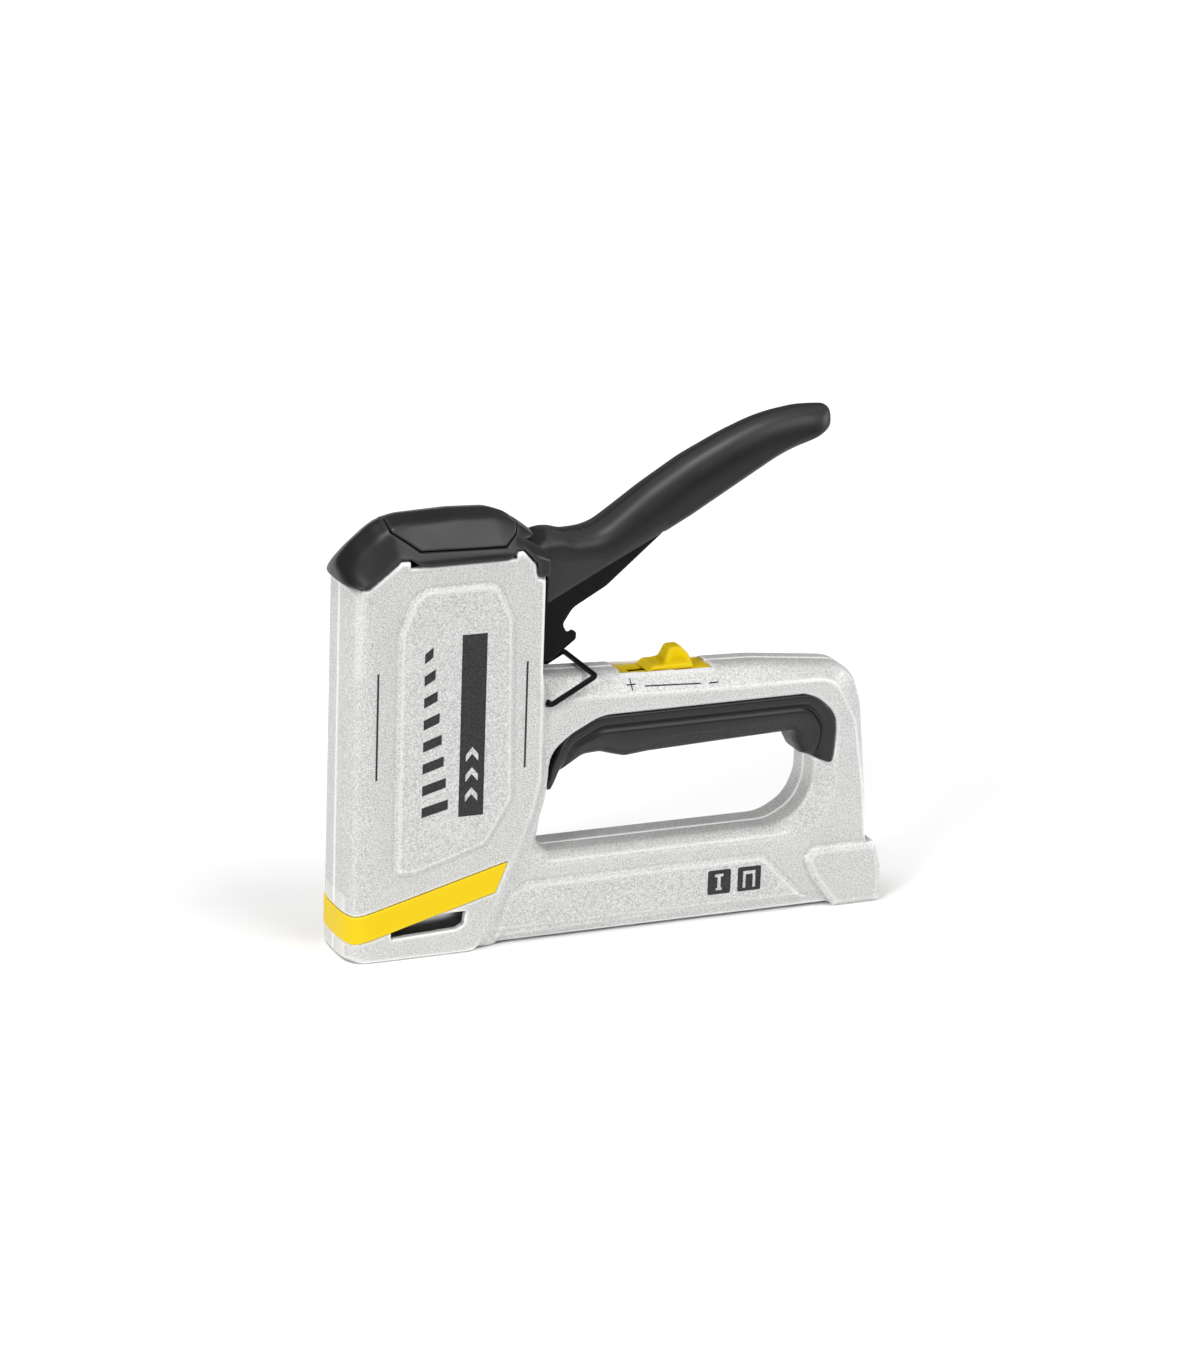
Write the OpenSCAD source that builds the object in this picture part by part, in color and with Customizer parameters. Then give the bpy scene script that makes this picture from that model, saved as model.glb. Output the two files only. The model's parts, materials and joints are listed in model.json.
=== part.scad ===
// Heavy-duty hand staple gun: two cast half shells, squeeze lever, spring-driven
// plunger, rear-pull staple magazine, wire lock and sliding power selector.
// The nose points to -X, the heel to +X, and the sole stands on Z = 0.

/* [Casing] */
// Distance from the shell's nose to the heel
shell_l = 196; // [195.6:0.1:196.4]
// Width of the head across both shells
head_w = 30; // [29.8:0.1:30.4]
// Height of the raised panel above the side of the head
panel_rise = 1; // [0.6:0.1:1.2]
// Width of the handle and of the rail across both shells
handle_w = 24; // [23.8:0.1:24.4]
// Width of the raised block at the heel
heel_w = 28; // [27.4:0.1:28.4]
// How far the middle of the nose stands forward of its corners
nose_bow = 4.3; // [3.8:0.1:4.6]
// Width of the cap over the head
cap_w = 31.6; // [31.2:0.1:32]
// Thickness of the band round the nose
band_t = 1; // [0.8:0.1:1.1]

/* [Lever] */
// Position of the lever pivot along the tool
pivot_x = 64; // [63.8:0.1:64.2]
// Height of the lever pivot
pivot_z = 129; // [128.8:0.1:129.2]
// Radius of the lever pivot pin
pivot_r = 3; // [2.8:0.1:3]
// Width of the lever grip at its root
lever_w = 20.8; // [20.6:0.1:21]
// Inside width of the folded steel channel
channel_in = 14.4; // [14.2:0.1:14.6]
// Sheet thickness of the folded steel channel
channel_t = 2; // [1.8:0.1:2]
// Rest position of the lifter pin along the tool
lifter_x = 27; // [26.8:0.1:27.2]
// Rest height of the lifter pin
lifter_z = 99; // [98.8:0.1:99.2]

/* [Drive] */
// Width of the plunger
plunger_w = 13; // [12.6:0.1:13.2]
// Height of the plunger's lower face at rest
plunger_z = 62; // [61.8:0.1:62.4]
// Outer radius of the main spring
main_spring_r = 6.4; // [6:0.1:6.4]
// Wire radius of the main spring
main_wire_r = 0.9; // [0.8:0.05:0.95]
// Width of the driver blade, as wide as a staple's crown
blade_w = 10.6; // [10.4:0.1:10.8]
// Thickness of the driver blade
blade_t = 1.2; // [1:0.1:1.3]

/* [Magazine] */
// Width of the fixed staple channel
magazine_w = 13.5; // [13.4:0.1:13.6]
// Width of the drawer's rail that the staples straddle
rail_w = 8.2; // [8:0.1:8.2]
// Radius of the rod that guides the staple pusher
rod_r = 1.5; // [1.4:0.05:1.5]

/* [Lock and power slider] */
// Position of the lock wire's pivot along the tool
lock_x = 71.2; // [71.1:0.1:71.6]
// Height of the lock wire's pivot
lock_z = 83.7; // [83.5:0.1:83.9]
// Length of the lock wire's legs
lock_l = 18.1; // [17.8:0.1:18.2]
// Angle of the lock wire above the handle at rest
lock_rest = 28.5; // [28.5:0.5:32]
// Wire radius of the lock
lock_wire_r = 0.95; // [0.9:0.01:0.97]
// Length of the slider's skirt
skirt_l = 16.4; // [16:0.1:17]

/* [Hidden] */

eps = 0.01;
far = 300;
round_fn = 64;
arc_steps = 6;
fit = 0.3;               // gap between pieces that move past each other
bore_gap = 0.05;         // radial clearance of a pin that turns
cap_front = -0.8;        // foremost point of the cap
shell_front = 0.4;       // foremost point of the shells
heel_x = shell_front + shell_l;
head_y = head_w / 2;
handle_y = handle_w / 2;
cavity_y = 12.2;         // half width inside the head
rail_z = 0.9;            // underside of the rail between sole and heel
bevel_y = 6;             // half width of the flat along the handle's top
seam_y = 8;              // half width where the loop's edges start to slope
magazine_y = magazine_w / 2;
magazine_top = 14.4;
core_top = 11.8;         // top of the rail that the staples sit on
rod_z = 7.5;
channel_y = channel_in / 2 + channel_t;
lever_y = lever_w / 2;
lifter_r = 3;
pin_l = 28;              // length of the lever pivot pin
blade_x = 5.2;
seat_z = 133;            // underside of the upper spring seat
spring_x = 21;
slot_top = lifter_z + lifter_r + fit;
plunger_top = slot_top + 2.9;
slider_x0 = 109.8;       // front edge of the slider's skirt at rest
slider_rivet_x = 117.9;
recess_x0 = 99.4;        // front and rear end of the recess of the slider's cover plate
recess_x1 = 132.9;
plate_z = 87.4;          // underside of the slider's cover plate
screw_sites = [[10, 125.6], [61, 55.5], [36, 42], [100, 22.5], [183.5, 28], [184, 58]];
washer_r = pivot_r + 1.6;
seat_x0 = 12.8;          // front edge of the upper spring seat
seat_t = 2;
screw_r = 1.7;
screw_head_r = 3.1;
head_seat_y = 9.4;       // where the screw heads bear on the right shell

cast = [0.84, 0.84, 0.82];
dark = [0.2, 0.2, 0.2];
black = [0.07, 0.07, 0.07];
steel = [0.62, 0.63, 0.65];
yellow = [0.93, 0.77, 0.03];

// ---- Outlines -------------------------------------------------------------

function unit(v) = v / norm(v);

// Arc of radius r that rounds corner b of the path a, b, c
function corner(a, b, c, r) =
    let (u = unit(a - b),
         w = unit(c - b),
         half = acos(u * w) / 2,
         mid = b + unit(u + w) * r / sin(half),
         start = b + u * r / tan(half) - mid,
         end = b + w * r / tan(half) - mid,
         a0 = atan2(start.y, start.x),
         turn = (atan2(end.y, end.x) - a0 + 540) % 360 - 180)
    [for (i = [0:arc_steps]) mid + r * [cos(a0 + turn * i / arc_steps), sin(a0 + turn * i / arc_steps)]];

// Outline from [x, z, radius] corners, where a corner without a radius stays sharp
function outline(p) =
    let (n = len(p), q = [for (c = p) [c.x, c.y]])
    [for (i = [0:n - 1]) each (len(p[i]) > 2
        ? corner(q[(i + n - 1) % n], q[i], q[(i + 1) % n], p[i][2]) : [q[i]])];

// Side-view outline made solid from y0 to y1
module side(p, y0, y1) {
    translate([0, y1, 0])
        rotate([90, 0, 0])
            linear_extrude(y1 - y0)
                polygon(outline(p));
}

// Box between two opposite corners
module box(low, high) {
    translate(low)
        cube(high - low);
}

// Round bar along Y, centred on y = 0 unless y0 is given
module bar_y(x, z, r, length, y0 = undef) {
    translate([x, is_undef(y0) ? -length / 2 : y0, z])
        rotate([-90, 0, 0])
            cylinder(r = r, h = length, $fn = round_fn);
}

// Coil spring along +Z as one tube swept round a helix
module coil(r, wire, length, turns, steps = 16, sides = 8) {
    last = round(turns * steps);
    rings = [for (i = [0:last])
        let (a = i / last * turns * 360,
             z = wire + (length - 2 * wire) * i / last)
        [for (k = [0:sides - 1])
            let (b = k * 360 / sides, rho = r - wire + wire * cos(b))
            [rho * cos(a), rho * sin(a), z + wire * sin(b)]]];
    tube(rings, sides);
}

// Closed tube through rings of points
module tube(rings, sides) {
    n = len(rings);
    points = [for (ring = rings) each ring];
    walls = [for (i = [0:n - 2], k = [0:sides - 1])
        let (a = i * sides + k, b = i * sides + (k + 1) % sides)
        each [[a, a + sides, b], [b, a + sides, b + sides]]];
    start = [for (k = [0:sides - 1]) k];
    end = [for (k = [sides - 1:-1:0]) (n - 1) * sides + k];
    polyhedron(points, concat(walls, [start], [end]), convexity = 10);
}

// ---- Casing ---------------------------------------------------------------

// Top of the shells, from the back of the head to the nose
shell_top = [[65.2, 128.6, 1], [64.6, 133.6, 1], [60.2, 138.2, 1], [17.4, 138.4, 1], [5.8, 129.8, 2]];
// Side of the head out to its full width, up to the diagonal ridge
head_face = concat([[shell_front, 0, 1.5], [45.6, 0, 2], [64.5, 46.6, 12], [67.5, 58.4, 12],
                    [67.5, 127]], shell_top, [[shell_front, 129.6]]);
// Side of the head where the ridge meets the handle and the rail
head_foot = concat([[shell_front, 0, 1.5], [54, 0, 2], [67.5, 38, 10], [71, 53, 14], [71, 86, 8],
                    [69.2, 96, 6], [69.2, 128.4]], shell_top, [[shell_front, 129.6]]);
// Frame of the handle, rear post and rail: flat top and rear edge
frame_crown = [[50, rail_z], [heel_x - 4, rail_z], [193.4, 18], [192.4, 38], [189.4, 70, 10],
               [185, 84.6, 12], [150, 88.5, 40], [100, 90.4], [68, 92]];
// The same frame where its bevels reach the full width of the handle
frame_face = [[50, rail_z], [heel_x - 4, rail_z], [190.6, 21], [188.6, 42], [184.6, 66, 8],
              [176, 82, 10], [140, 82.2], [89, 83.8], [68, 84.6]];
// Hand loop at the seam, and where its edges meet the sides
loop_seam = [[69.6, 33, 4], [75, 29.9, 3], [158, 29.9, 14], [167.5, 35, 14], [171.3, 44, 14],
             [171.3, 54], [176.6, 54], [177.4, 70, 8], [165, 77], [92, 77, 14], [73, 67, 10], [72.8, 54]];
loop_face = [[66, 35, 5], [69.4, 27.4, 6], [162, 27.4, 14], [172.5, 31.5, 10], [177.2, 43, 14],
             [177.2, 54], [177.6, 60], [177.4, 70, 8], [165, 77], [92, 77, 14], [73, 67, 10], [71, 50]];

// Plan of the head: nose bowed forward as a cubic, straight sides, rounded corners
function nose_x(y, proud = 0) = shell_front - proud + nose_bow * pow(min(abs(y) / head_y, 1), 3);
function head_plan(proud) =
    let (edge = head_y + proud)
    concat([for (i = [-10:10]) let (y = edge * i / 10) [nose_x(y, proud) + (abs(i) == 10 ? 0.6 : 0), y]],
           [[far, edge], [far, -edge]]);

// Space in front of which nothing of the head may reach, made slightly proud on demand
module head_prism(proud = 0) {
    translate([0, 0, -eps])
        linear_extrude(far)
            polygon(head_plan(proud));
}

// Outer form of the head with the diagonal ridge sloping down to the handle
module head_form() {
    over = 150;
    difference() {
        intersection() {
            hull() {
                side(head_foot, -handle_y, handle_y);
                side(head_face, -head_y, head_y);
            }
            head_prism();
        }
        side(concat([[80, 128.4]], shell_top, [[-5, 129.6], [-5, over], [80, over]]), -far, far);
    }
}

// Bevelled frame with the hand loop and the bed of the grip cut through it
module frame_form() {
    difference() {
        hull() {
            side(frame_crown, -bevel_y, bevel_y);
            side(frame_face, -handle_y, handle_y);
        }
        hull() {
            side(loop_seam, -seam_y, seam_y);
            side(loop_face, -handle_y - eps, handle_y + eps);
        }
        side(grip_outline, -far, far);
    }
}

// Foot block at the heel, wider than the rail
module heel_form() {
    heel_y = heel_w / 2;
    side([[170.2, 11.8, 2], [179, 0], [heel_x, 0, 1], [heel_x, 12], [193.8, 21.8, 1], [170, 21.8, 3],
          [167.6, 18, 2]], -heel_y, heel_y);
}

// Raised panel that stiffens the flank of the head
module flank_panel() {
    panel_y = head_y + panel_rise;
    side([[16.2, 114, 6], [16.2, 30, 3], [24, 29.6, 3], [49, 37.2, 5], [58.4, 52.7, 8], [57.2, 116, 8],
          [51, 129, 6], [22, 129, 8]], -panel_y, panel_y);
}

// Raised strip along the rail
module rail_panel() {
    strip_y = handle_y + 0.8;
    side([[52.5, 2], [58, 20, 4], [66, 22, 4], [152, 22, 6], [170, 3.6]], -strip_y, strip_y);
}

// Core of the handle that the rubber grip wraps
module handle_core() {
    core_y = 8.2;
    side([[78, 78.5], [78, 70, 4], [94, 64.8, 5], [160, 65, 6], [171, 68, 4], [171, 56], [179, 56],
          [179, 78.5]], -core_y, core_y);
}

// Space inside the head for the plunger, its spring and the lever
module head_cavity() {
    side([[4.5, 18], [47.5, 18], [61, 50, 6], [64.6, 66, 6], [64.6, 76, 4], [66, 95], [66, 140],
          [4.5, 140]], -cavity_y, cavity_y);
    // Rear slot that the lever swings into
    box([60, -lever_y - fit, 95], [80, lever_y + fit, 140]);
    // Dip in the side walls under the cap
    side([[19.9, 139], [23.2, 136.2, 1.5], [27, 135.6], [53, 135.5], [55.3, 135.9, 1.5], [58.4, 139]],
         -far, far);
}

// Hollows in the rail, the rear post and the handle
module frame_hollows() {
    box([60, -9, 17.5], [176, 9, 26.4]);
    side([[177, 26], [188.6, 26], [186, 66, 6], [177, 66]], -9, 9);
    box([80, -5.6, 68], [168, 5.6, 79]);
    // Passage of the power rod and the opening of its slider
    box([36, -4.2, 80.6], [136.4, 4.2, plate_z]);
    box([recess_x0, -bevel_y + 0.1, plate_z - eps], [recess_x1, bevel_y - 0.1, far]);
}

// Way of the magazine along the tool, open at the sole and at the heel
module magazine_way() {
    box([6.7, -magazine_y - 0.15, -1], [far, magazine_y + 0.15, 14.8]);
    box([3, -magazine_y - 1.8, -1], [6.8, magazine_y + 1.8, 22]);
    box([7, -magazine_y - 2, -1], [far, magazine_y + 2, 1.5]);
}

// Window in the side of the nose that shows the staples
module nose_window() {
    side([[16.2, 7.8], [39.5, 8.8, 1], [42, 10.2, 1], [42.6, 14.8], [32.4, 14.9], [16.2, 10.4]], -far, far);
}

// Side view of the band, rising from the nose to the ridge
module band_strip() {
    side([[-5, 6.9], [4, 6.9, 8], [53, 20.3], [57.2, 30.8], [4, 16.6, 8], [-5, 16.6]], -far, far);
}

// Layer round the head from inside (negative) to outside (positive) of its surface
module head_layer(inside, outside) {
    skin = head_y + outside;
    difference() {
        intersection() {
            box([-5, -skin, 0], [70, skin, 40]);
            head_prism(outside);
        }
        intersection() {
            box([0, -head_y + inside, -1], [80, head_y - inside, 41]);
            translate([0, 0, -1])
                head_prism(-inside);
        }
    }
}

// Pillars that the screws run through
module screw_pillars(r) {
    for (s = screw_sites)
        bar_y(s[0], s[1], r, 2 * cavity_y + 1);
}

// Holes, head recesses and threads of the screws, which enter from the +Y side
module screw_holes() {
    for (s = screw_sites) {
        bar_y(s[0], s[1], screw_r + bore_gap, 11, -11);
        bar_y(s[0], s[1], screw_r + 0.2, head_seat_y + eps, -eps);
        bar_y(s[0], s[1], screw_head_r + 0.2, far, head_seat_y);
    }
}

// Shallow vertical slots and the marks of the power scale
module engraving() {
    for (sign = [-1, 1]) {
        slot_y = sign * head_y;
        box([9.4, slot_y - 0.5, 64.2], [10.1, slot_y + 0.5, 101]);
        box([61.8, slot_y - 0.5, 63.4], [62.5, slot_y + 0.5, 100.3]);
    }
}

// Both shells as one piece, before they part at the seam
module casing() {
    difference() {
        union() {
            head_form();
            frame_form();
            handle_core();
            heel_form();
            flank_panel();
            rail_panel();
        }
        difference() {
            union() {
                head_cavity();
                frame_hollows();
            }
            screw_pillars(4);
        }
        magazine_way();
        nose_window();
        intersection() {
            band_strip();
            head_layer(band_t * 0.6, 2);
        }
        bar_y(pivot_x, pivot_z, pivot_r, pin_l + 0.4);
        bar_y(pivot_x, pivot_z, washer_r + fit / 2, 2 * cavity_y);
        bar_y(lock_x, lock_z, lock_wire_r + bore_gap, 19);
        bar_y(lock_x, lock_z, lock_wire_r + bore_gap, 40);
        screw_holes();
        engraving();
        // Grooves of the upper spring seat and of the bumper
        box([seat_x0 - 0.2, -14, seat_z], [32.2, 14, seat_z + seat_t]);
        box([10, -13.4, 56], [33, 13.4, 58]);
    }
}

module left_shell() {
    color(cast)
        intersection() {
            casing();
            box([-far, -far, -far], [far, 0, far]);
        }
}

module right_shell() {
    color(cast)
        intersection() {
            casing();
            box([-far, 0, -far], [far, far, far]);
        }
}

// Six countersunk screws with cross slots
module shell_screws() {
    color(steel)
        for (s = screw_sites)
            difference() {
                union() {
                    bar_y(s[0], s[1], screw_r, 10 + head_seat_y, -10);
                    bar_y(s[0], s[1], screw_head_r, 2, head_seat_y);
                }
                box([s[0] - 2, head_seat_y + 1, s[1] - 0.4], [s[0] + 2, head_seat_y + 3, s[1] + 0.4]);
                box([s[0] - 0.4, head_seat_y + 1, s[1] - 2], [s[0] + 0.4, head_seat_y + 3, s[1] + 2]);
            }
}

// ---- Cap, band and grip -----------------------------------------------------

// Stations of the cap: [x, height at the middle, at the shoulder, at the side edge, side half width]
cap_stations = [[cap_front, 133.4, 131.4, 130.2, 11], [1.2, 137.2, 134.2, 130.4, 14],
                [4.8, 141.4, 138.2, 131.6, 15.8], [11.8, 147.2, 144, 135.6, 15.8],
                [16.2, 149.4, 147, 137, 15.8], [22, 150.4, 148.3, 137, 15.8],
                [40, 150.8, 149, 137, 15.8], [53, 150.1, 148.4, 137, 15.8],
                [58.5, 148, 146.8, 137, 15.8], [64.4, 143.9, 142.8, 136, 15.8],
                [69.8, 139.6, 138.8, 133.6, 14.6]];

// Faceted body of the cap, shrunk by inset
module cap_form(inset = 0) {
    shoulder_y = 7.4;
    floor_z = 124;
    hull()
        for (s = cap_stations) {
            y = min(s[4], cap_w / 2) - inset;
            x = s[0] + (s[0] < 30 ? inset : -inset);
            translate([x - (s[0] < 30 ? 0 : eps), 0, 0])
                rotate([90, 0, 90])
                    linear_extrude(eps)
                        polygon([[-y, floor_z], [-y, s[3] - inset * 0.5],
                                 [-shoulder_y + inset * 0.4, s[2] - inset], [0, s[1] - inset],
                                 [shoulder_y - inset * 0.4, s[2] - inset],
                                 [y, s[3] - inset * 0.5], [y, floor_z]]);
        }
}

// Everything below the line where the cap meets the shells
module below_cap() {
    side([[-10, 100], [90, 100], [90, 128.7], [65.4, 128.7, 0.6], [64.8, 133.7, 1], [60.3, 138.4, 1],
          [57.6, 138.4, 1], [55, 136, 1.5], [53, 135.8], [27, 135.9], [23.5, 136.6, 1.5], [20.5, 138.6, 1],
          [17.2, 138.6, 1], [5.7, 130, 2], [-10, 130]], -far, far);
}

// Side view of the inset panel on the cap
module panel_strip(grow) {
    side([[16 - grow, 160], [16 - grow, 146.6 - grow], [20.5, 143.6 - grow, 1], [24.4, 140.8 - grow, 1],
          [54, 140 - grow, 1], [58.6 + grow, 143.2, 1], [60.4 + grow, 146], [60.4 + grow, 160]], -far, far);
}

module top_cap() {
    panel_gap = 0.35;
    panel_depth = 1.5;
    wall = 3;
    color(dark)
        difference() {
            cap_form();
            cap_form(wall);
            below_cap();
            difference() {
                panel_strip(panel_gap);
                cap_form(panel_depth);
            }
            // Opening at the rear for the lever
            box([60, -lever_y - fit, 100], [90, lever_y + fit, 141]);
            // Seats of the pivot pin and its washers
            bar_y(pivot_x, pivot_z, pivot_r + fit, pin_l + 0.4);
            bar_y(pivot_x, pivot_z, washer_r + fit, 2 * cavity_y);
        }
}

module cap_panel() {
    panel_depth = 1.5;
    color(dark)
        difference() {
            intersection() {
                cap_form();
                panel_strip(0);
            }
            cap_form(panel_depth);
        }
}

// Coloured band let into the nose
module nose_band() {
    color(yellow)
        intersection() {
            band_strip();
            head_layer(band_t * 0.6, band_t * 0.4);
            box([-5, -far, 0], [60, far, 60]);
        }
}

// Soft grip under the handle, curling down the rear post
module grip_insert() {
    grip_y = 12.3;
    color(dark)
        difference() {
            side(grip_outline, -grip_y, grip_y);
            handle_core();
        }
}

grip_outline = [[72.6, 52.6], [73.8, 61, 8], [78, 71, 10], [90, 77.2, 14], [170, 77.3, 12],
                [177.9, 67, 12], [176.8, 51.4, 1], [167, 54.2, 2], [165, 58, 2], [163.8, 62.6, 2],
                [132, 61.6], [110, 60.8], [101.5, 60, 5], [97, 61.2, 4], [92.5, 62.5, 4],
                [86.5, 62.2, 6], [79, 57.6, 8], [74.8, 50.4]];

// ---- Nose and magazine ------------------------------------------------------

// Hardened plate that guides the blade at the front of the nose
module nose_plate() {
    color(steel)
        box([3.1, -magazine_y - 1.7, 0.3], [5, magazine_y + 1.7, 21.8]);
}

// Fixed folded channel that the staples run in
module magazine_channel() {
    wall = 1;
    color(steel)
        difference() {
            box([6.9, -magazine_y, 1.8], [178, magazine_y, magazine_top]);
            box([0, -magazine_y + wall, 0], [far, magazine_y - wall, magazine_top - wall]);
        }
}

// Drawer that pulls out of the heel: floor, upright rail and front stop
module magazine_drawer() {
    rail_y = rail_w / 2;
    wall = 1;
    color(steel) {
        difference() {
            union() {
                box([7.3, -magazine_y - 1.7, 0.3], [184, magazine_y + 1.7, 1.3]);
                box([7.3, -rail_y, 1.2], [184, rail_y, core_top]);
            }
            box([8.5, -rail_y + wall, 1.3], [far, rail_y - wall, far]);
            box([0, -rail_y + wall, core_top - 1], [9, rail_y - wall, far]);
        }
    }
}

// Plastic end of the drawer with finger ridges
module drawer_end() {
    end_y = magazine_y - 0.2;
    color(black)
        difference() {
            union() {
                box([184, -end_y, 1.3], [heel_x - 0.6, end_y, 14.3]);
                box([184, -magazine_y - 1.6, 0.3], [heel_x - 0.6, magazine_y + 1.6, 1.35]);
                for (z = [3.4:2.2:13])
                    box([heel_x - 0.8, -end_y, z - 0.5], [heel_x, end_y, z + 0.5]);
            }
            // Pocket of the latch button and its spring
            box([187.4, -3.3, 4.7], [far, 3.3, 10.3]);
            // Seat of the pusher rod
            translate([180, 0, rod_z])
                rotate([0, 90, 0])
                    cylinder(r = rod_r, h = 6.6, $fn = round_fn);
        }
}

// Button that frees the drawer
module latch_button() {
    color(yellow)
        difference() {
            box([190.6, -3, 5], [heel_x - 0.1, 3, 10]);
            translate([190, 0, rod_z])
                rotate([0, 90, 0])
                    cylinder(r = 1.6, h = 2, $fn = round_fn);
        }
}

module latch_spring() {
    color(steel)
        translate([187.5, 0, rod_z])
            rotate([0, 90, 0])
                coil(1.4, 0.25, 4.3, 5, 12, 6);
}

// Pusher that rides over the rail and shoves the staples forward
module staple_pusher() {
    rail_y = rail_w / 2;
    flap_y = magazine_y - 1 - fit;
    color(black)
        difference() {
            union() {
                box([7.5, -flap_y, 4], [22, flap_y, core_top + 1.3]);
                box([9, -rail_y + 1.4, 3.5], [20, rail_y - 1.4, core_top + 1]);
            }
            difference() {
                box([0, -rail_y - 0.25, 0], [far, rail_y + 0.25, core_top + 0.25]);
                box([9, -rail_y + 1.4, 3.5], [20, rail_y - 1.4, far]);
            }
            translate([0, 0, rod_z])
                rotate([0, 90, 0])
                    cylinder(r = rod_r + bore_gap, h = far, $fn = round_fn);
        }
}

module pusher_rod() {
    color(steel)
        translate([8.9, 0, rod_z])
            rotate([0, 90, 0])
                cylinder(r = rod_r, h = 186.4 - 8.9, $fn = round_fn);
}

// Long soft spring between the pusher and the end of the drawer
module pusher_spring() {
    color(steel)
        translate([20.2, 0, rod_z])
            rotate([0, 90, 0])
                coil(2.4, 0.3, 163.6, 34, 10, 6);
}

// ---- Drive --------------------------------------------------------------------

// Plunger with the cross slot that the lifter pin pulls up
module plunger() {
    half = plunger_w / 2;
    slot_bottom = lifter_z - lifter_r - 1.2;
    color(steel)
        difference() {
            side([[6.6, plunger_z, 1], [34, plunger_z, 1], [34, plunger_top, 2], [12, plunger_top, 2],
                  [12, 94, 1], [6.6, 90]], -half, half);
            side([[14, slot_bottom, 3], [31, slot_bottom, 3], [31, slot_top, 3], [14, slot_top, 3]],
                 -far, far);
            for (z = rivet_heights)
                translate([0, 0, z])
                    rotate([0, 90, 0])
                        cylinder(r = rivet_r, h = 16, $fn = round_fn);
        }
}

rivet_heights = [70, 84];
rivet_r = 1.8;

// Blade that strikes the staples, riveted to the front of the plunger
module driver_blade() {
    color(steel)
        difference() {
            box([blade_x, -blade_w / 2, 1], [blade_x + blade_t, blade_w / 2, 90]);
            for (z = rivet_heights)
                translate([0, 0, z])
                    rotate([0, 90, 0])
                        cylinder(r = rivet_r, h = 16, $fn = round_fn);
        }
}

module blade_rivets() {
    color(steel)
        for (z = rivet_heights)
            translate([blade_x, 0, z])
                rotate([0, 90, 0])
                    cylinder(r = rivet_r, h = 16 - blade_x, $fn = round_fn);
}

module main_spring() {
    color(steel)
        translate([spring_x, 0, plunger_top])
            coil(main_spring_r, main_wire_r, seat_z - plunger_top, 5.5, 20, 10);
}

// Plate between the shells that the main spring pushes against, with a guide stem
module spring_seat() {
    color(steel) {
        box([seat_x0, -13.8, seat_z], [32, 13.8, seat_z + seat_t]);
        translate([spring_x, 0, seat_z - 8])
            cylinder(r = 4, h = 8.5, $fn = round_fn);
    }
}

// Rubber block that stops the plunger
module bumper() {
    color(black) {
        box([10.2, -11.9, plunger_z - 4], [32.8, 11.9, plunger_z - fit]);
        box([10.2, -13.2, 56.1], [32.8, 13.2, 57.9]);
        box([10.2, -11.9, 57], [32.8, 11.9, plunger_z - 3]);
    }
}

// ---- Lever --------------------------------------------------------------------

grip_side = [[69.9, 117], [70.7, 116.3, 0.6], [90.4, 126.6], [122.2, 142.9], [154, 160.9, 60],
             [168, 166.6, 10], [175.2, 169.2, 2.6], [174.4, 174.6, 3], [163, 175.3, 10],
             [152.5, 174, 40], [126.6, 164, 60], [101, 148.2, 20], [90, 137.6, 10], [78, 139.6, 4],
             [73.2, 139.5, 2], [67.4, 136.6, 1.2], [66.8, 134.8], [70.2, 133.6]];
grip_plan = [[66, -lever_y], [98, -lever_y - 0.2, 60], [150, -9.4, 60], [175.4, -7.4, 7],
             [175.4, 7.4, 7], [150, 9.4, 60], [98, lever_y + 0.2, 60], [66, lever_y]];
channel_top = [[112, 147.4], [91, 134.4, 12], [80, 133, 10], [66, 135.6, 4]];

// Moulded grip over the steel channel
module lever_grip() {
    pocket_y = channel_y + 0.1;
    color(dark)
        difference() {
            intersection() {
                side(grip_side, -12, 12);
                linear_extrude(far)
                    polygon(outline(grip_plan));
            }
            side([[60, 100], [112.5, 130], [112.5, 147.8], [91, 134.5, 12], [80, 133.1, 10], [60, 137.4]],
                 -pocket_y, pocket_y);
            for (s = grip_rivet_sites)
                bar_y(s[0], s[1], grip_rivet_r, far);
        }
}

grip_rivet_sites = [[82, 127.4], [106, 140.6]];
grip_rivet_r = 1.6;

// Folded channel: two cheeks with the hook and the lifting arms, joined by a top web
module lever_channel() {
    cheeks = concat([[109.6, 135]], [[92.2, 121.6, 10], [80.4, 115, 6], [76.9, 109.6, 2], [79, 105.9, 1.2],
             [80.4, 107.4, 0.6], [82, 106.4, 0.8], [81.8, 104.1, 1], [72.6, 97.1, 1], [69, 98, 4],
             [56, 110, 14], [29, 94, 4], [22.2, 95.4, 4], [21.6, 101.6, 4], [50, 124, 14],
             [58, 134.4, 6]], [for (i = [3:-1:0]) channel_top[i]]);
    color(black)
        difference() {
            side(cheeks, -channel_y, channel_y);
            difference() {
                box([0, -channel_in / 2, 0], [far, channel_in / 2, far]);
                side([[72, 132.3], [80, 130.8, 10], [90.6, 132.2, 12], [112, 145], [112, 160], [72, 160]],
                     -far, far);
            }
            bar_y(pivot_x, pivot_z, pivot_r + bore_gap, far);
            bar_y(lifter_x, lifter_z, lifter_r - 0.6, far);
            for (s = grip_rivet_sites)
                bar_y(s[0], s[1], grip_rivet_r, far);
        }
}

// Two pins that hold the grip to the channel
module grip_rivets() {
    color(steel)
        for (s = grip_rivet_sites)
            bar_y(s[0], s[1], grip_rivet_r, lever_w - 0.4);
}

module pivot_pin() {
    color(steel)
        bar_y(pivot_x, pivot_z, pivot_r, pin_l);
}

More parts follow.
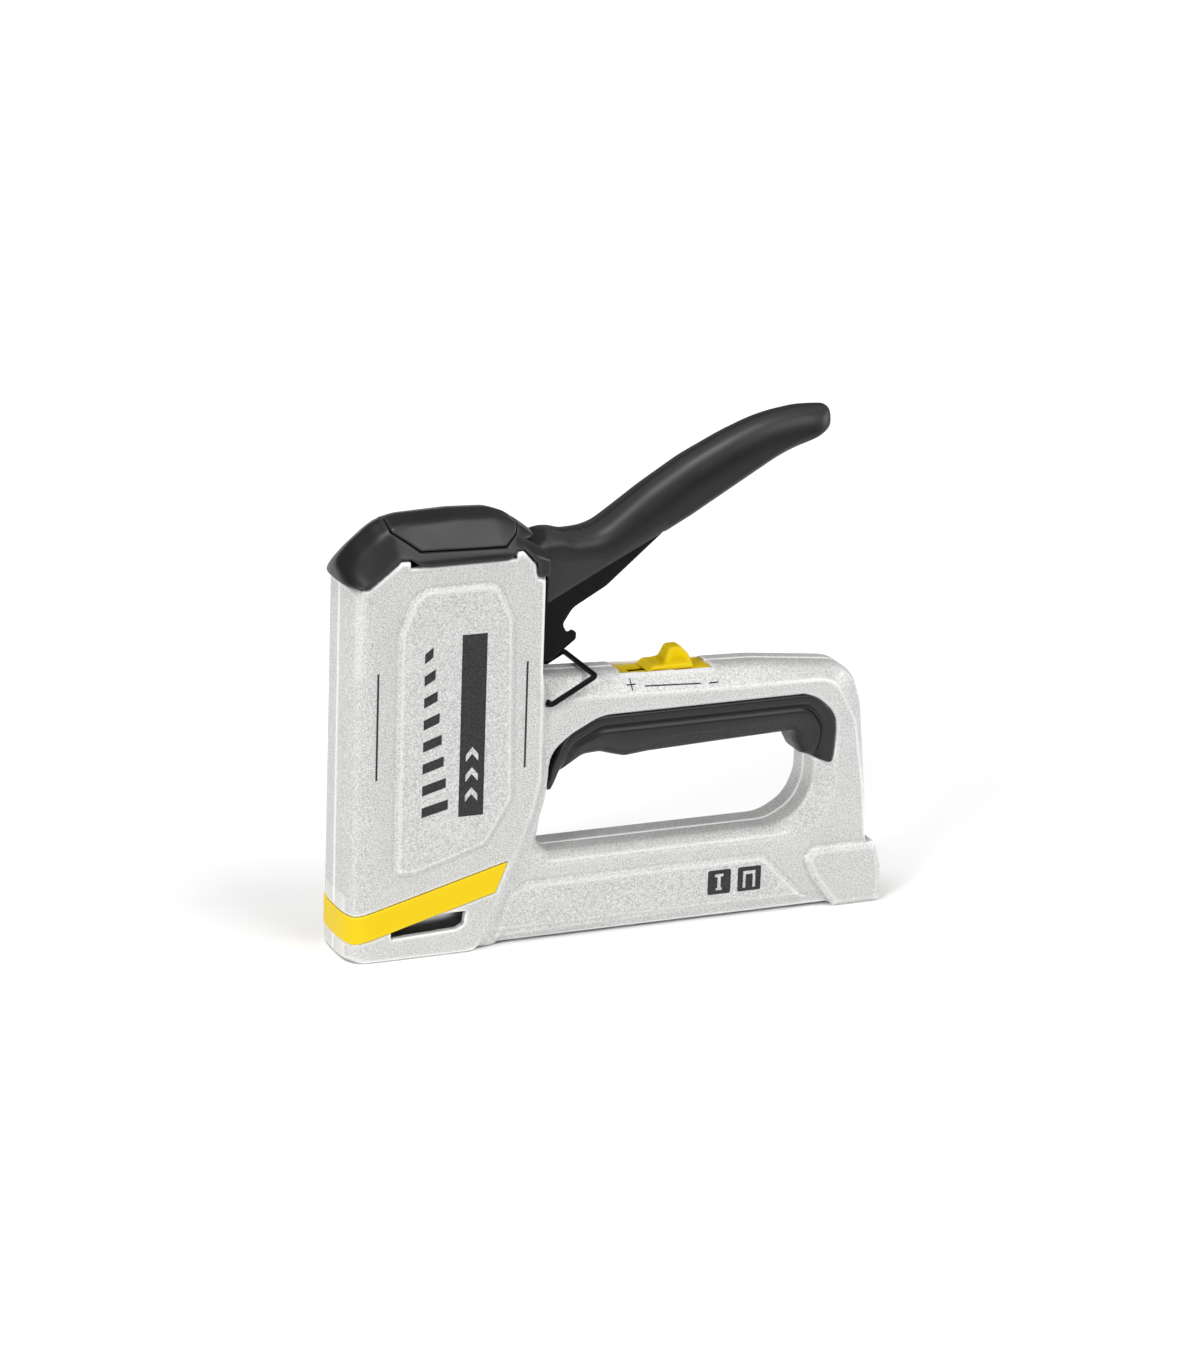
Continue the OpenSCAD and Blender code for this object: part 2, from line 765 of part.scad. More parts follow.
// Two washers that keep the lever in the middle of the head
module pivot_washers() {
    washer_t = cavity_y - channel_y - 0.2;
    color(steel)
        for (y0 = [channel_y + 0.1, -channel_y - 0.1 - washer_t])
            difference() {
                bar_y(pivot_x, pivot_z, washer_r, washer_t, y0);
                bar_y(pivot_x, pivot_z, pivot_r + bore_gap, far);
            }
}

// Stepped pin between the lifting arms
module lifter_pin() {
    color(steel) {
        bar_y(lifter_x, lifter_z, lifter_r, channel_in);
        bar_y(lifter_x, lifter_z, lifter_r - 0.6, 2 * channel_y);
    }
}

// Torsion spring on the pivot pin that returns the lever
module lever_spring() {
    coil_l = 9;
    color(steel)
        translate([pivot_x, -coil_l / 2, pivot_z])
            rotate([-90, 0, 0])
                coil(pivot_r + 1.6, 0.6, coil_l, 5.5, 16, 8);
}

// ---- Lock and power slider -----------------------------------------------------

// Bent wire that holds the lever down: two legs, a cross bar and turned-in ends
module lock_wire() {
    leg_y = 14;
    end_y = 10;
    bend_r = lock_wire_r + 0.04;
    bar_x = lock_x + lock_l * cos(lock_rest);
    bar_z = lock_z + lock_l * sin(lock_rest);
    color(black) {
        bar_y(bar_x, bar_z, lock_wire_r, 2 * leg_y);
        for (sign = [-1, 1]) {
            bar_y(lock_x, lock_z, lock_wire_r, leg_y - end_y, sign > 0 ? end_y : -leg_y);
            for (p = [[lock_x, lock_z], [bar_x, bar_z]])
                translate([p[0], sign * leg_y, p[1]])
                    sphere(r = bend_r, $fn = 32);
            translate([lock_x, sign * leg_y, lock_z])
                rotate([0, 90 - lock_rest, 0])
                    cylinder(r = lock_wire_r, h = lock_l, $fn = 32);
        }
    }
}

// Thumb slider: skirt over the slot, ribbed knob and stem
module power_slider() {
    skirt_y = 5.4;
    knob_y = 3.8;
    stem_y = 1.2;
    skirt_x1 = slider_x0 + skirt_l;
    knob_x = slider_x0 + 7;
    color(yellow) {
        side([[slider_x0, 88.6], [skirt_x1, 88.6], [skirt_x1, 90, 1], [slider_x0 + 2, 90.4, 2]],
             -skirt_y, skirt_y);
        side([[knob_x, 89], [knob_x + 9.4, 89], [knob_x + 9, 92.6, 3], [knob_x + 5.8, 95.7, 1.5],
              [knob_x + 2, 95.7, 1.5], [knob_x + 0.4, 92.2, 4]], -knob_y, knob_y);
        box([knob_x - 2.4, -stem_y, 84.2], [knob_x + 4.6, stem_y, 89]);
    }
}

// Flat strip that carries the slider's setting forward to the plunger
module power_rod() {
    color(steel)
        difference() {
            box([46, -3.4, 82.6], [125.4, 3.4, 84.1]);
            bar_z(slider_rivet_x, 0, 80, 90, slider_rivet_r);
        }
}

slider_rivet_r = 1.2;

// Round bar along Z
module bar_z(x, y, z0, z1, r) {
    translate([x, y, z0])
        cylinder(r = r, h = z1 - z0, $fn = round_fn);
}

module slider_rivet() {
    color(steel) {
        bar_z(slider_rivet_x, 0, 81.8, 82.6, 2.2);
        bar_z(slider_rivet_x, 0, 82.2, 84.2, slider_rivet_r);
    }
}

// Coloured plate that closes the recess round the slider's stem
module power_plate() {
    color(yellow)
        difference() {
            box([recess_x0 + 0.1, -bevel_y + 0.2, plate_z],
                [recess_x1 - 0.1, bevel_y - 0.2, plate_z + 0.9]);
            box([recess_x0 + 5, -1.5, 80], [recess_x1 - 5.5, 1.5, 100]);
        }
}

// ---- Assembly -------------------------------------------------------------------

// Moves the origin to the middle of the footprint
module place() {
    translate([-(cap_front + heel_x) / 2, 0, 0])
        children();
}

place() left_shell();
place() right_shell();
place() shell_screws();
place() top_cap();
place() cap_panel();
place() nose_band();
place() grip_insert();
place() nose_plate();
place() magazine_channel();
place() magazine_drawer();
place() drawer_end();
place() latch_button();
place() latch_spring();
place() staple_pusher();
place() pusher_rod();
place() pusher_spring();
place() plunger();
place() driver_blade();
place() blade_rivets();
place() main_spring();
place() spring_seat();
place() bumper();
place() lever_grip();
place() lever_channel();
place() grip_rivets();
place() pivot_pin();
place() pivot_washers();
place() lifter_pin();
place() lever_spring();
place() lock_wire();
place() power_slider();
place() power_rod();
place() power_plate();
place() slider_rivet();
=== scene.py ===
"""Looks of the staple gun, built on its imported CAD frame.

Cast shells, cap, band, grip, lever, its steel channel and the power slider are modelled as smooth
solids: each is a field that is negative inside the piece, worked out on a fine grid and turned into a
mesh. Lengths are in millimetres in the tool's own frame (x from the nose, z up from the sole) until a
mesh is made, and metres after that.
"""
import json
import math
import bmesh
import bpy
import numpy as np
from mathutils import Matrix, Vector
from mathutils.geometry import tessellate_polygon

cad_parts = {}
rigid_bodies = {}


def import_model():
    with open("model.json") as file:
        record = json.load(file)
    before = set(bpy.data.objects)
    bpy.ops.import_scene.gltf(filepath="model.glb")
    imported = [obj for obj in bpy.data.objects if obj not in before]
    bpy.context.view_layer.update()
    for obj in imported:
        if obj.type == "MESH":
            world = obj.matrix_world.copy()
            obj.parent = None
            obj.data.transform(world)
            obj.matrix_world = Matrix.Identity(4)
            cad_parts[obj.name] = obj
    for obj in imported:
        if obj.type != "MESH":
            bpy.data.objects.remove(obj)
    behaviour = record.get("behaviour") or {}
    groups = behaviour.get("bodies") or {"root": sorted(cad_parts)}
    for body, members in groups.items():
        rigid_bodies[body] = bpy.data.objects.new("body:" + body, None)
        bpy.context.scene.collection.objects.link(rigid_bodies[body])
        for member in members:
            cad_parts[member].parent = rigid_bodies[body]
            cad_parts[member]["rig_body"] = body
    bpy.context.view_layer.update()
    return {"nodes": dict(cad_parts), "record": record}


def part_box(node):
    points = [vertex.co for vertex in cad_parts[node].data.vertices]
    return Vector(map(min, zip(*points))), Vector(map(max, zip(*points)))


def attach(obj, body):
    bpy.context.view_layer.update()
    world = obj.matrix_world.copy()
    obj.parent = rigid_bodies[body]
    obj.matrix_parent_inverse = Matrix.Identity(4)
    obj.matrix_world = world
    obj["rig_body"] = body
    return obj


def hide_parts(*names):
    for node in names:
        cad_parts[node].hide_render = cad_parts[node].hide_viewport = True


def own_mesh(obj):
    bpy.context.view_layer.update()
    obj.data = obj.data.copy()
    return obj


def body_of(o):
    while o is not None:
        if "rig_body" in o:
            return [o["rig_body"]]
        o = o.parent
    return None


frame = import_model()
nodes = frame["nodes"]

# ---- Sizes of the tool, in millimetres -------------------------------------------------------------

MM = 0.001
SHELL_FRONT = 0.4
SHELL_L = 196.0
HEEL_X = SHELL_FRONT + SHELL_L
HEAD_Y = 15.0
PANEL_RISE = 1.3
PANEL_BEVEL = 1.9
STRIP_RISE = 1.2
STRIP_BEVEL = 2.0
SOLE_STEP = 0.45
SOLE_STEP_Z = 6.2
SEAM_GAP = 0.1
HANDLE_Y = 12.0
BEVEL_Y = 6.0
HEEL_Y = 14.0
SEAM_Y = 8.0
NOSE_BOW = 4.3
CAP_Y = 15.8
CAP_FRONT = -0.8
CAP_BOW = 3.9
SHOULDER_Y = 7.4
CAP_END = 69.8
CAP_WALL = 2.6
LID = 1.3
LID_POCKET = 1.4
LEVER_Y = 10.4
LEVER_POCKET_Y = 9.3
CHEEK_Y = 9.2
CHEEK_INNER_Y = 7.2
WALL = 2.6
HOLLOW_Y = 12.2
RAIL_Z = 0.9
BAND_PROUD = 0.4
BAND_DEPTH = 0.6
SCREW_SITES = [(10, 125.6), (61, 55.5), (36, 42), (100, 22.5), (183.5, 28), (184, 58)]
SCREW_HEAD_R = 3.3
SCREW_SEAT_Y = 9.4
SCREW_BOSS_R = 4.2
SOFTENED = ["shell_screws", "drawer_end", "latch_button", "magazine_drawer", "magazine_channel",
            "nose_plate", "staple_pusher", "grip_rivets", "pivot_pin", "lifter_pin", "power_plate", "plunger",
            "driver_blade", "bumper", "spring_seat"]
PIVOT = (64.0, 129.0)
PIVOT_R = 3.05
LIFTER = (27.0, 99.0)
LIFTER_R = 2.45
SLIDER_X = 109.8
SLIDER_FLOOR = 88.6
RECESS_X = (99.4, 132.9)
LOCK = (71.2, 83.7)
LOCK_L = 18.1
LOCK_REST = 28.5
LOCK_R = 0.95
LOCK_LEG_Y = 14.0
LOCK_FOOT_Y = 10
GROOVE_AT = 4.6
GROOVE_DEPTH = 1.1
LATTICE_PITCH = 2.6
LATTICE_DEPTH = 0.28
RIVET_SHORTENING = 0.88
EDGE_HIGHLIGHT_TINT = 0.018   # how much lighter the painted edge highlight on a plastic is
MARK_PROUD = 0.04
MARK_SUNK = 0.15
CELL = 0.5
FINE = 0.35
EDGE_REACH = 1.2
CORNERS = [(i, j, k) for i in (0, 1) for j in (0, 1) for k in (0, 1)]   # of a cell
SHIFT = SHELL_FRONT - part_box("left_shell")[0].x / MM   # tool x minus row x

# Side-view outlines: [x, z] or [x, z, corner radius], after the part's source
CAP_LINE = [[67.5, 127], [65.2, 129, 1], [64.6, 133.6, 1], [60.2, 138.2, 1], [17.4, 138.4, 1],
            [5.8, 129.8, 2], [SHELL_FRONT, 129.6]]
HEAD_FACE = [[SHELL_FRONT, 0, 1.5], [45.6, 0, 2], [64.5, 46.6, 12], [67.5, 58.4, 12]] + CAP_LINE
HEAD_FOOT = [[SHELL_FRONT, 0, 1.5], [54, 0, 2], [67.5, 38, 10], [71, 53, 14], [71, 86, 8], [69.2, 96, 6],
             [69.2, 128.6]] + CAP_LINE[1:]
FRAME_CROWN = [[50, RAIL_Z], [HEEL_X - 4, RAIL_Z], [193.4, 18], [192.4, 38], [189.4, 70, 10],
               [185, 84.6, 12], [150, 88.5, 40], [100, 90.4], [68, 92]]
FRAME_FACE = [[50, RAIL_Z], [HEEL_X - 4, RAIL_Z], [190.6, 21], [188.6, 42], [184.6, 66, 8],
              [176, 82, 10], [140, 82.2], [89, 83.8], [68, 84.6]]
LOOP_SEAM = [[69.6, 33, 4], [75, 29.9, 3], [158, 29.9, 14], [167.5, 35, 14], [171.3, 44, 14],
             [171.3, 54], [176.6, 54], [177.4, 70, 8], [165, 77], [92, 77, 14], [73, 67, 10], [72.8, 54]]
LOOP_FACE = [[66, 35, 5], [69.4, 27.4, 6], [162, 27.4, 14], [172.5, 31.5, 10], [177.2, 43, 14],
             [177.2, 54], [177.6, 60], [177.4, 70, 8], [165, 77], [92, 77, 14], [73, 67, 10], [71, 50]]
HEEL = [[170.2, 11.8, 2], [179, 0], [HEEL_X, 0, 1], [HEEL_X, 12], [193.8, 21.8, 1], [170, 21.8, 3],
        [167.6, 18, 2]]
FLANK = [[16.2, 114, 6], [16.2, 30, 3], [24, 29.6, 3], [49, 37.2, 5], [58.4, 52.7, 8], [57.2, 116, 8],
         [51, 129, 6], [22, 129, 8]]
RAIL_STRIP = [[52.5, 2], [58, 20, 4], [66, 22, 4], [152, 22, 6], [170, 3.6]]
WINDOW = [[16.2, 7.8], [39.5, 8.8, 1], [42, 10.2, 1], [42.6, 14.8], [32.4, 14.9], [16.2, 10.4]]
BAND = [[-5, 6.9], [4, 6.9, 8], [53, 20.3], [57.2, 30.8], [4, 16.6, 8], [-5, 16.6]]
BELOW_CAP = [[-10, 100], [90, 100], [90, 128.7], [65.4, 128.7, 0.6], [64.8, 133.7, 1], [60.3, 138.4, 1],
             [57.6, 138.4, 1], [55, 136, 1.5], [53, 135.8], [27, 135.9], [23.5, 136.6, 1.5],
             [20.5, 138.6, 1], [17.2, 138.6, 1], [5.7, 130, 2], [-10, 130]]
CAP_PANEL = [[16, 160], [16, 146.6], [20.5, 143.6, 1], [24.4, 140.8, 1], [54, 140, 1], [58.6, 143.2, 1],
             [60.4, 146], [60.4, 160]]
# Cap stations: x, height at the middle, at the shoulder, at the side edge, half width
CAP_STATIONS = [[CAP_FRONT, 135.4, 132.4, 129.8, CAP_Y], [1.2, 138.2, 135, 130.4, CAP_Y],
                [4.8, 142.2, 138.8, 131.6, CAP_Y], [11.8, 147.8, 144.6, 135.6, CAP_Y],
                [16.2, 149.6, 147.3, 137, CAP_Y], [22, 150.5, 148.6, 137, CAP_Y],
                [40, 150.8, 149.2, 137, CAP_Y], [53, 150.1, 148.6, 137, CAP_Y],
                [58.5, 148, 146.9, 137, CAP_Y], [64.4, 143.9, 142.8, 136, CAP_Y],
                [69.8, 139.6, 138.8, 133.6, 14.6]]
GRIP_TOP = [[72.6, 52.6], [73.8, 61, 8], [78, 71, 10], [90, 77.1, 14], [170, 77.2, 12], [177.7, 67, 12],
            [176.6, 51.4, 1]]
GRIP_LOW = [[167, 54.2, 2], [165, 58, 2], [163.8, 62.6, 2], [132, 61.6], [110, 60.8], [101.5, 60, 5],
            [97, 61.2, 4], [92.5, 62.5, 4], [86.5, 62.2, 6], [79, 57.6, 8], [74.8, 50.4]]
HANDLE_CORE = [[78, 79], [78, 70, 4], [94, 64.8, 5], [160, 65, 6], [171, 68, 4], [171, 56], [179, 56],
               [179, 79]]
CORE_Y = 8.2
LEVER_LOW = [[69.9, 117], [70.7, 116.3, 0.6], [90.4, 126.6], [122.2, 142.9], [154, 160.9, 60],
             [168, 166.5, 10], [174.7, 169.4, 3.5]]
LEVER_CROWN = [[163, 175.7, 20], [150, 173.9, 60], [136.3, 168.5, 60], [121.8, 161.5, 60],
               [107.4, 152.6, 60], [89.8, 139.9, 16], [79, 139.3, 4], [73.4, 140.6, 1.5]]
LEVER_TOP = [[174.7, 175.5, 3.3]] + LEVER_CROWN + [[67.4, 137.4, 1.2], [66.8, 134.8], [70.2, 133.6]]
LEVER_POCKET = [[60, 100], [112.5, 130], [112.5, 142], [92, 131], [76, 131.5], [60, 136.2]]
CHANNEL = [[111.8, 138.2], [92.2, 121.6, 10], [80.4, 115, 6], [76.9, 109.6, 2], [79, 105.9, 1.2],
           [80.4, 107.4, 0.6], [82, 106.4, 0.8], [81.8, 104.1, 1], [72.6, 97.1, 1], [69, 98, 4],
           [56, 110, 14], [29, 94, 4], [22.2, 95.4, 4], [21.6, 101.6, 4], [50, 124, 14], [58, 134.4, 6],
           [66, 135.4, 3], [76, 130.8, 8], [92, 130.2, 8], [111.8, 141.2]]
CHANNEL_FOLD = [[50, 160], [66, 133.4], [76, 129, 8], [92, 128.4, 8], [112, 140], [112, 160]]
# Slider outlines, with x from the slider's front
SLIDER_SKIRT = [[0, SLIDER_FLOOR], [16.4, SLIDER_FLOOR], [16.4, 90.1, 1.2], [2, 90.5, 2]]
SLIDER_KNOB = [[6.8, 87], [16.6, 87], [16.1, 92.6, 3], [12.9, 95.8, 1.7], [8.8, 95.8, 1.7], [7.3, 92.2, 3]]

CAMERA_TURN = (-23.6, 18.5, 1.95)   # azimuth, elevation and roll in degrees
CAMERA_DISTANCE = 1.8152
CAMERA_TARGET = (-0.01076, -0.01791, 0.09014)
CAMERA_LENS = 144.31
# Suns: name, direction of the light, strength, width in degrees
SUNS = [("top", (0.25, 0.0, -0.97), 1.8, 25), ("front", (-0.3, 0.5, -0.8), 1.2, 30),
        ("left", (0.75, 0.52, -0.42), 1.35, 15), ("right", (-0.93, 0.15, -0.33), 0.9, 20)]
WORLD_STRENGTH = 0.16


# ---- Fields: outlines, blends and meshing ---------------------------------------------------------

def outline(corners, steps=8):
    """Points of an outline whose corners may carry a radius."""
    count = len(corners)
    points = []
    for i, corner in enumerate(corners):
        b = np.array(corner[:2], float)
        if len(corner) < 3:
            points.append(b)
            continue
        u = np.array(corners[i - 1][:2], float) - b
        w = np.array(corners[(i + 1) % count][:2], float) - b
        u, w = u / np.linalg.norm(u), w / np.linalg.norm(w)
        half = math.acos(np.clip(u @ w, -1, 1)) / 2
        middle = b + (u + w) / np.linalg.norm(u + w) * corner[2] / math.sin(half)
        start = b + u * corner[2] / math.tan(half) - middle
        end = b + w * corner[2] / math.tan(half) - middle
        a0 = math.atan2(start[1], start[0])
        turn = (math.atan2(end[1], end[0]) - a0 + 3 * math.pi) % (2 * math.pi) - math.pi
        for k in range(steps + 1):
            a = a0 + turn * k / steps
            points.append(middle + corner[2] * np.array([math.cos(a), math.sin(a)]))
    return np.array(points)


def line_distance(points, x, z, closed=False):
    """Distance to a chain of straight pieces."""
    best = np.full(np.broadcast(x, z).shape, 1e6, np.float32)
    for i in range(0 if closed else 1, len(points)):
        a, b = points[i - 1], points[i]
        ex, ez = b - a
        wx, wz = x - a[0], z - a[1]
        t = np.clip((wx * ex + wz * ez) / (ex * ex + ez * ez + 1e-12), 0, 1)
        best = np.minimum(best, (wx - t * ex) ** 2 + (wz - t * ez) ** 2)
    return np.sqrt(best)


def area_distance(corners, x, z):
    """Signed distance to a closed outline, negative inside."""
    points = outline(corners)
    inside = np.zeros(np.broadcast(x, z).shape, bool)
    for i in range(len(points)):
        a, b = points[i - 1], points[i]
        if a[1] == b[1]:
            continue
        cross = (b[0] - a[0]) * (z - a[1]) / (b[1] - a[1]) + a[0]
        inside ^= ((a[1] > z) != (b[1] > z)) & (x < cross)
    return np.where(inside, -1, 1) * line_distance(points, x, z, closed=True)


def join(a, b, k=1.0):
    """Both solids, with a fillet of about k."""
    h = np.clip(0.5 + 0.5 * (b - a) / k, 0, 1)
    return b + (a - b) * h - k * h * (1 - h)


def meet(a, b, k=1.0):
    """What both solids share, with edges rounded by about k."""
    return -join(-a, -b, k)


def smooth(t):
    t = np.clip(t, 0, 1)
    return t * t * (3 - 2 * t)


def block(x, y, z, low, high):
    """Signed distance to a box between two corners."""
    d = np.maximum(np.abs(x - (low[0] + high[0]) / 2) - (high[0] - low[0]) / 2,
                   np.abs(z - (low[2] + high[2]) / 2) - (high[2] - low[2]) / 2)
    return np.maximum(d, np.abs(y - (low[1] + high[1]) / 2) - (high[1] - low[1]) / 2)


def grid(low, high, cell):
    """Sample points of a box as three arrays that broadcast together."""
    axes = [np.arange(a, b + cell, cell, dtype=np.float32) for a, b in zip(low, high)]
    return axes[0][:, None, None], axes[1][None, :, None], axes[2][None, None, :]


def corner_values(field, cells, corner):
    i, j, k = (cells + corner).T
    return field[i, j, k]


def cell_vertices(field):
    """Cells that the zero surface crosses, their numbers, and where in each one its vertex lies."""
    inside = field < 0
    count = np.zeros([n - 1 for n in field.shape], np.int8)
    nx, ny, nz = count.shape
    for i, j, k in CORNERS:
        count += inside[i:i + nx, j:j + ny, k:k + nz]
    active = (count > 0) & (count < 8)
    cells = np.argwhere(active)
    index = np.full(count.shape, -1, np.int32)
    index[active] = np.arange(len(cells))
    total, hits = np.zeros((len(cells), 3)), np.zeros(len(cells))
    for a in CORNERS:
        for axis in range(3):
            if a[axis]:
                continue
            b = tuple(1 if n == axis else a[n] for n in range(3))
            fa, fb = corner_values(field, cells, a), corner_values(field, cells, b)
            crossed = (fa < 0) != (fb < 0)
            t = fa[crossed] / (fa[crossed] - fb[crossed])
            point = np.array(a, float) + t[:, None] * (np.array(b, float) - np.array(a, float))
            total[crossed] += point
            hits[crossed] += 1
    local = np.clip(total / hits[:, None], 0, 1)
    for _ in range(2):
        local = settle(field, cells, local)
    return cells, index, local


def cell_quads(field, index):
    """A quad round each grid edge that the zero surface crosses, facing out of the solid."""
    inside = field < 0
    quads = []
    for axis in range(3):
        u, v = [n for n in range(3) if n != axis]
        size = list(field.shape)
        size[axis] -= 1
        here = inside[tuple(slice(0, size[n]) for n in range(3))]
        there = inside[tuple(slice(1 if n == axis else 0, None) for n in range(3))]
        spots = np.argwhere(here != there)
        spots = spots[(spots[:, u] > 0) & (spots[:, v] > 0)
                      & (spots[:, u] < field.shape[u] - 1) & (spots[:, v] < field.shape[v] - 1)]
        ring = []
        for du, dv in ((1, 1), (0, 1), (0, 0), (1, 0)):
            cell_at = spots.copy()
            cell_at[:, u] -= du
            cell_at[:, v] -= dv
            ring.append(index[tuple(cell_at.T)])
        ring = np.stack(ring, 1)
        outward = here[tuple(spots.T)]
        if axis == 1:
            outward = ~outward
        ring[~outward] = ring[~outward][:, ::-1]
        quads.append(ring)
    return np.concatenate(quads)


def surface(field, low, cell):
    """Quads on the zero surface of a sampled field, one vertex in each cell that it crosses."""
    cells, index, local = cell_vertices(field)
    return np.array(low) + cell * (cells + local), cell_quads(field, index)


def settle(field, cells, local):
    """Moves each vertex along the slope of the field towards its zero, inside its own cell."""
    f = {corner: corner_values(field, cells, corner) for corner in CORNERS}
    u, v, w = local.T
    def mix(a, b, t):
        return a + (b - a) * t
    low_face = mix(mix(f[0, 0, 0], f[1, 0, 0], u), mix(f[0, 1, 0], f[1, 1, 0], u), v)
    high_face = mix(mix(f[0, 0, 1], f[1, 0, 1], u), mix(f[0, 1, 1], f[1, 1, 1], u), v)
    value = mix(low_face, high_face, w)
    gx = mix(mix(f[1, 0, 0] - f[0, 0, 0], f[1, 1, 0] - f[0, 1, 0], v),
             mix(f[1, 0, 1] - f[0, 0, 1], f[1, 1, 1] - f[0, 1, 1], v), w)
    gy = mix(mix(f[0, 1, 0] - f[0, 0, 0], f[1, 1, 0] - f[1, 0, 0], u),
             mix(f[0, 1, 1] - f[0, 0, 1], f[1, 1, 1] - f[1, 0, 1], u), w)
    slope = np.stack([gx, gy, high_face - low_face], 1)
    step = slope * (value / np.maximum((slope ** 2).sum(1), 1e-9))[:, None]
    return np.clip(local - step, 0, 1)


def make_object(name, verts, faces, body, smooth_shade=True):
    """Mesh object from millimetre points, riding on a body."""
    mesh = bpy.data.meshes.new(name)
    verts = (np.asarray(verts, float) - [SHIFT, 0, 0]) * MM
    mesh.from_pydata(verts.tolist(), [], [list(map(int, f)) for f in faces])
    mesh.validate()
    if smooth_shade:
        mesh.shade_smooth()
    else:
        mesh.shade_flat()
    mesh.update()
    piece = bpy.data.objects.new(name, mesh)
    bpy.context.scene.collection.objects.link(piece)
    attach(piece, body)
    return piece


def bend_at(field, low, cell, verts, reach):
    """How far the surface bends within reach of each vertex: positive on edges, negative in creases."""
    step = max(1, int(round(reach / cell)))
    padded = np.pad(field, step, "edge")
    total = np.zeros(field.shape, np.float32)
    for axis in range(3):
        for shift in (0, 2 * step):
            start = [shift if n == axis else step for n in range(3)]
            total += padded[tuple(slice(a, a + size) for a, size in zip(start, field.shape))]
    bend = total / 6 - field
    spot = (np.asarray(verts) - low) / cell
    base = np.clip(np.floor(spot).astype(int), 0, np.array(field.shape) - 2)
    part = spot - base
    value = np.zeros(len(base))
    for corner in CORNERS:
        weight = np.prod(np.where(np.array(corner) == 1, part, 1 - part), axis=1)
        value += weight * corner_values(bend, base, corner)
    return value


def mark_edges(piece, values):
    """Keeps the bend of the surface on the mesh, for the finish to read as painted edge highlight and crease
    shade.
    """
    data = piece.data.attributes.new("bend", "FLOAT", "POINT")
    data.data.foreach_set("value", np.asarray(values, np.float32))


def solid(name, field, low, cell, body, replaced=()):
    """Smooth piece from a sampled field, standing for CAD nodes."""
    verts, quads = surface(field, low, cell)
    piece = make_object(name, verts, quads, body)
    mark_edges(piece, bend_at(field, low, cell, verts, EDGE_REACH))
    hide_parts(*replaced)
    return piece


# ---- Casing ---------------------------------------------------------------------------------------

def between(near, far):
    """0 on the near outline and 1 on the far one."""
    return np.clip(near / (near - far + 1e-9), 0, 1)


def nose_distance(x, y):
    """Distance to the bowed front of the head, negative behind it."""
    ratio = np.clip(np.abs(y) / HEAD_Y, 0, 1.05)
    front = SHELL_FRONT + NOSE_BOW * ratio ** 3
    slope = 3 * NOSE_BOW * ratio ** 2 / HEAD_Y
    return (front - x) / np.sqrt(1 + slope ** 2)


def casing_skin(x, y, z):
    """Outer surface of both shells."""
    side = np.abs(y)
    face, foot = area_distance(HEAD_FACE, x, z), area_distance(HEAD_FOOT, x, z)
    ridge = np.where(face > 0, between(face, foot), 0)
    ridge = np.where(foot > 0, 1, ridge)
    head = meet(side - (HEAD_Y - (HEAD_Y - HANDLE_Y) * smooth(ridge)), foot, 1.6)
    flank = area_distance(FLANK, x, z)
    panel = side - HEAD_Y - PANEL_RISE * np.clip(-flank / PANEL_BEVEL, 0, 1)
    head = join(head, meet(panel, flank, 0.3), 0.3)
    head = meet(head, nose_distance(x, y), 3.6)
    crown, broad = area_distance(FRAME_CROWN, x, z), area_distance(FRAME_FACE, x, z)
    bevel = np.where(broad > 0, between(-crown, -broad), 1)
    low_step = SOLE_STEP * smooth((SOLE_STEP_Z - z) / 0.8)
    body = meet((side - (BEVEL_Y + (HANDLE_Y - BEVEL_Y) * bevel) + low_step) * 0.85, crown, 1.8)
    strip = area_distance(RAIL_STRIP, x, z)
    raised = side - HANDLE_Y + low_step - STRIP_RISE * np.clip(-strip / STRIP_BEVEL, 0, 1)
    body = join(body, meet(raised, strip, 0.3), 0.3)
    seam, loop = area_distance(LOOP_SEAM, x, z), area_distance(LOOP_FACE, x, z)
    slope = np.where(seam > 0, between(seam, loop), 0)
    lip = (SEAM_Y + (HANDLE_Y - SEAM_Y) * slope - side) * 0.8
    hole = join(seam, meet(loop, lip, 0.8), 0.8)
    body = meet(body, -hole, 1.4)
    heel = area_distance(HEEL, x, z)
    body = join(body, meet(side - HEEL_Y + 0.9 * smooth(1 + heel / 2.0), heel, 0.7), 1.2)
    return join(head, body, 1.6)


def casing_voids(x, y, z, skin):
    """Everything that is open or hollow in the shells."""
    side = np.abs(y)
    hollow = skin + WALL
    for sx, sz in SCREW_SITES:
        hollow = np.maximum(hollow, SCREW_BOSS_R - np.hypot(x - sx, z - sz))
    hollow = np.maximum(hollow, side - HOLLOW_Y)
    openings = [
        block(x, y, z, (4.5, -HOLLOW_Y, 100), (64.6, HOLLOW_Y, 145)),
        block(x, y, z, (60, -LEVER_Y - 0.3, 95), (80, LEVER_Y + 0.3, 145)),
        block(x, y, z, (6.7, -6.9, -5), (210, 6.9, 14.8)),
        block(x, y, z, (3, -8.5, -5), (6.8, 8.5, 22)),
        block(x, y, z, (7, -8.75, -5), (210, 8.75, 1.5)),
        block(x, y, z, (RECESS_X[0], -5.9, 80.6), (RECESS_X[1], 5.9, 110)),
        block(x, y, z, (20.5, -20, 135.8), (57.6, 20, 145)),
        np.maximum(np.hypot(x - LOCK[0], z - LOCK[1]) - 1.1, 8 - side)]
    bed = area_distance(GRIP_TOP + GRIP_LOW, x, z)
    core = np.maximum(area_distance(HANDLE_CORE, x, z), side - CORE_Y)
    openings.append(np.maximum(bed + 0.1, -core))
    window = area_distance(WINDOW, x, z)
    openings.append(np.maximum(window, 5 - side))
    for opening in openings:
        hollow = np.minimum(hollow, opening)
    return hollow


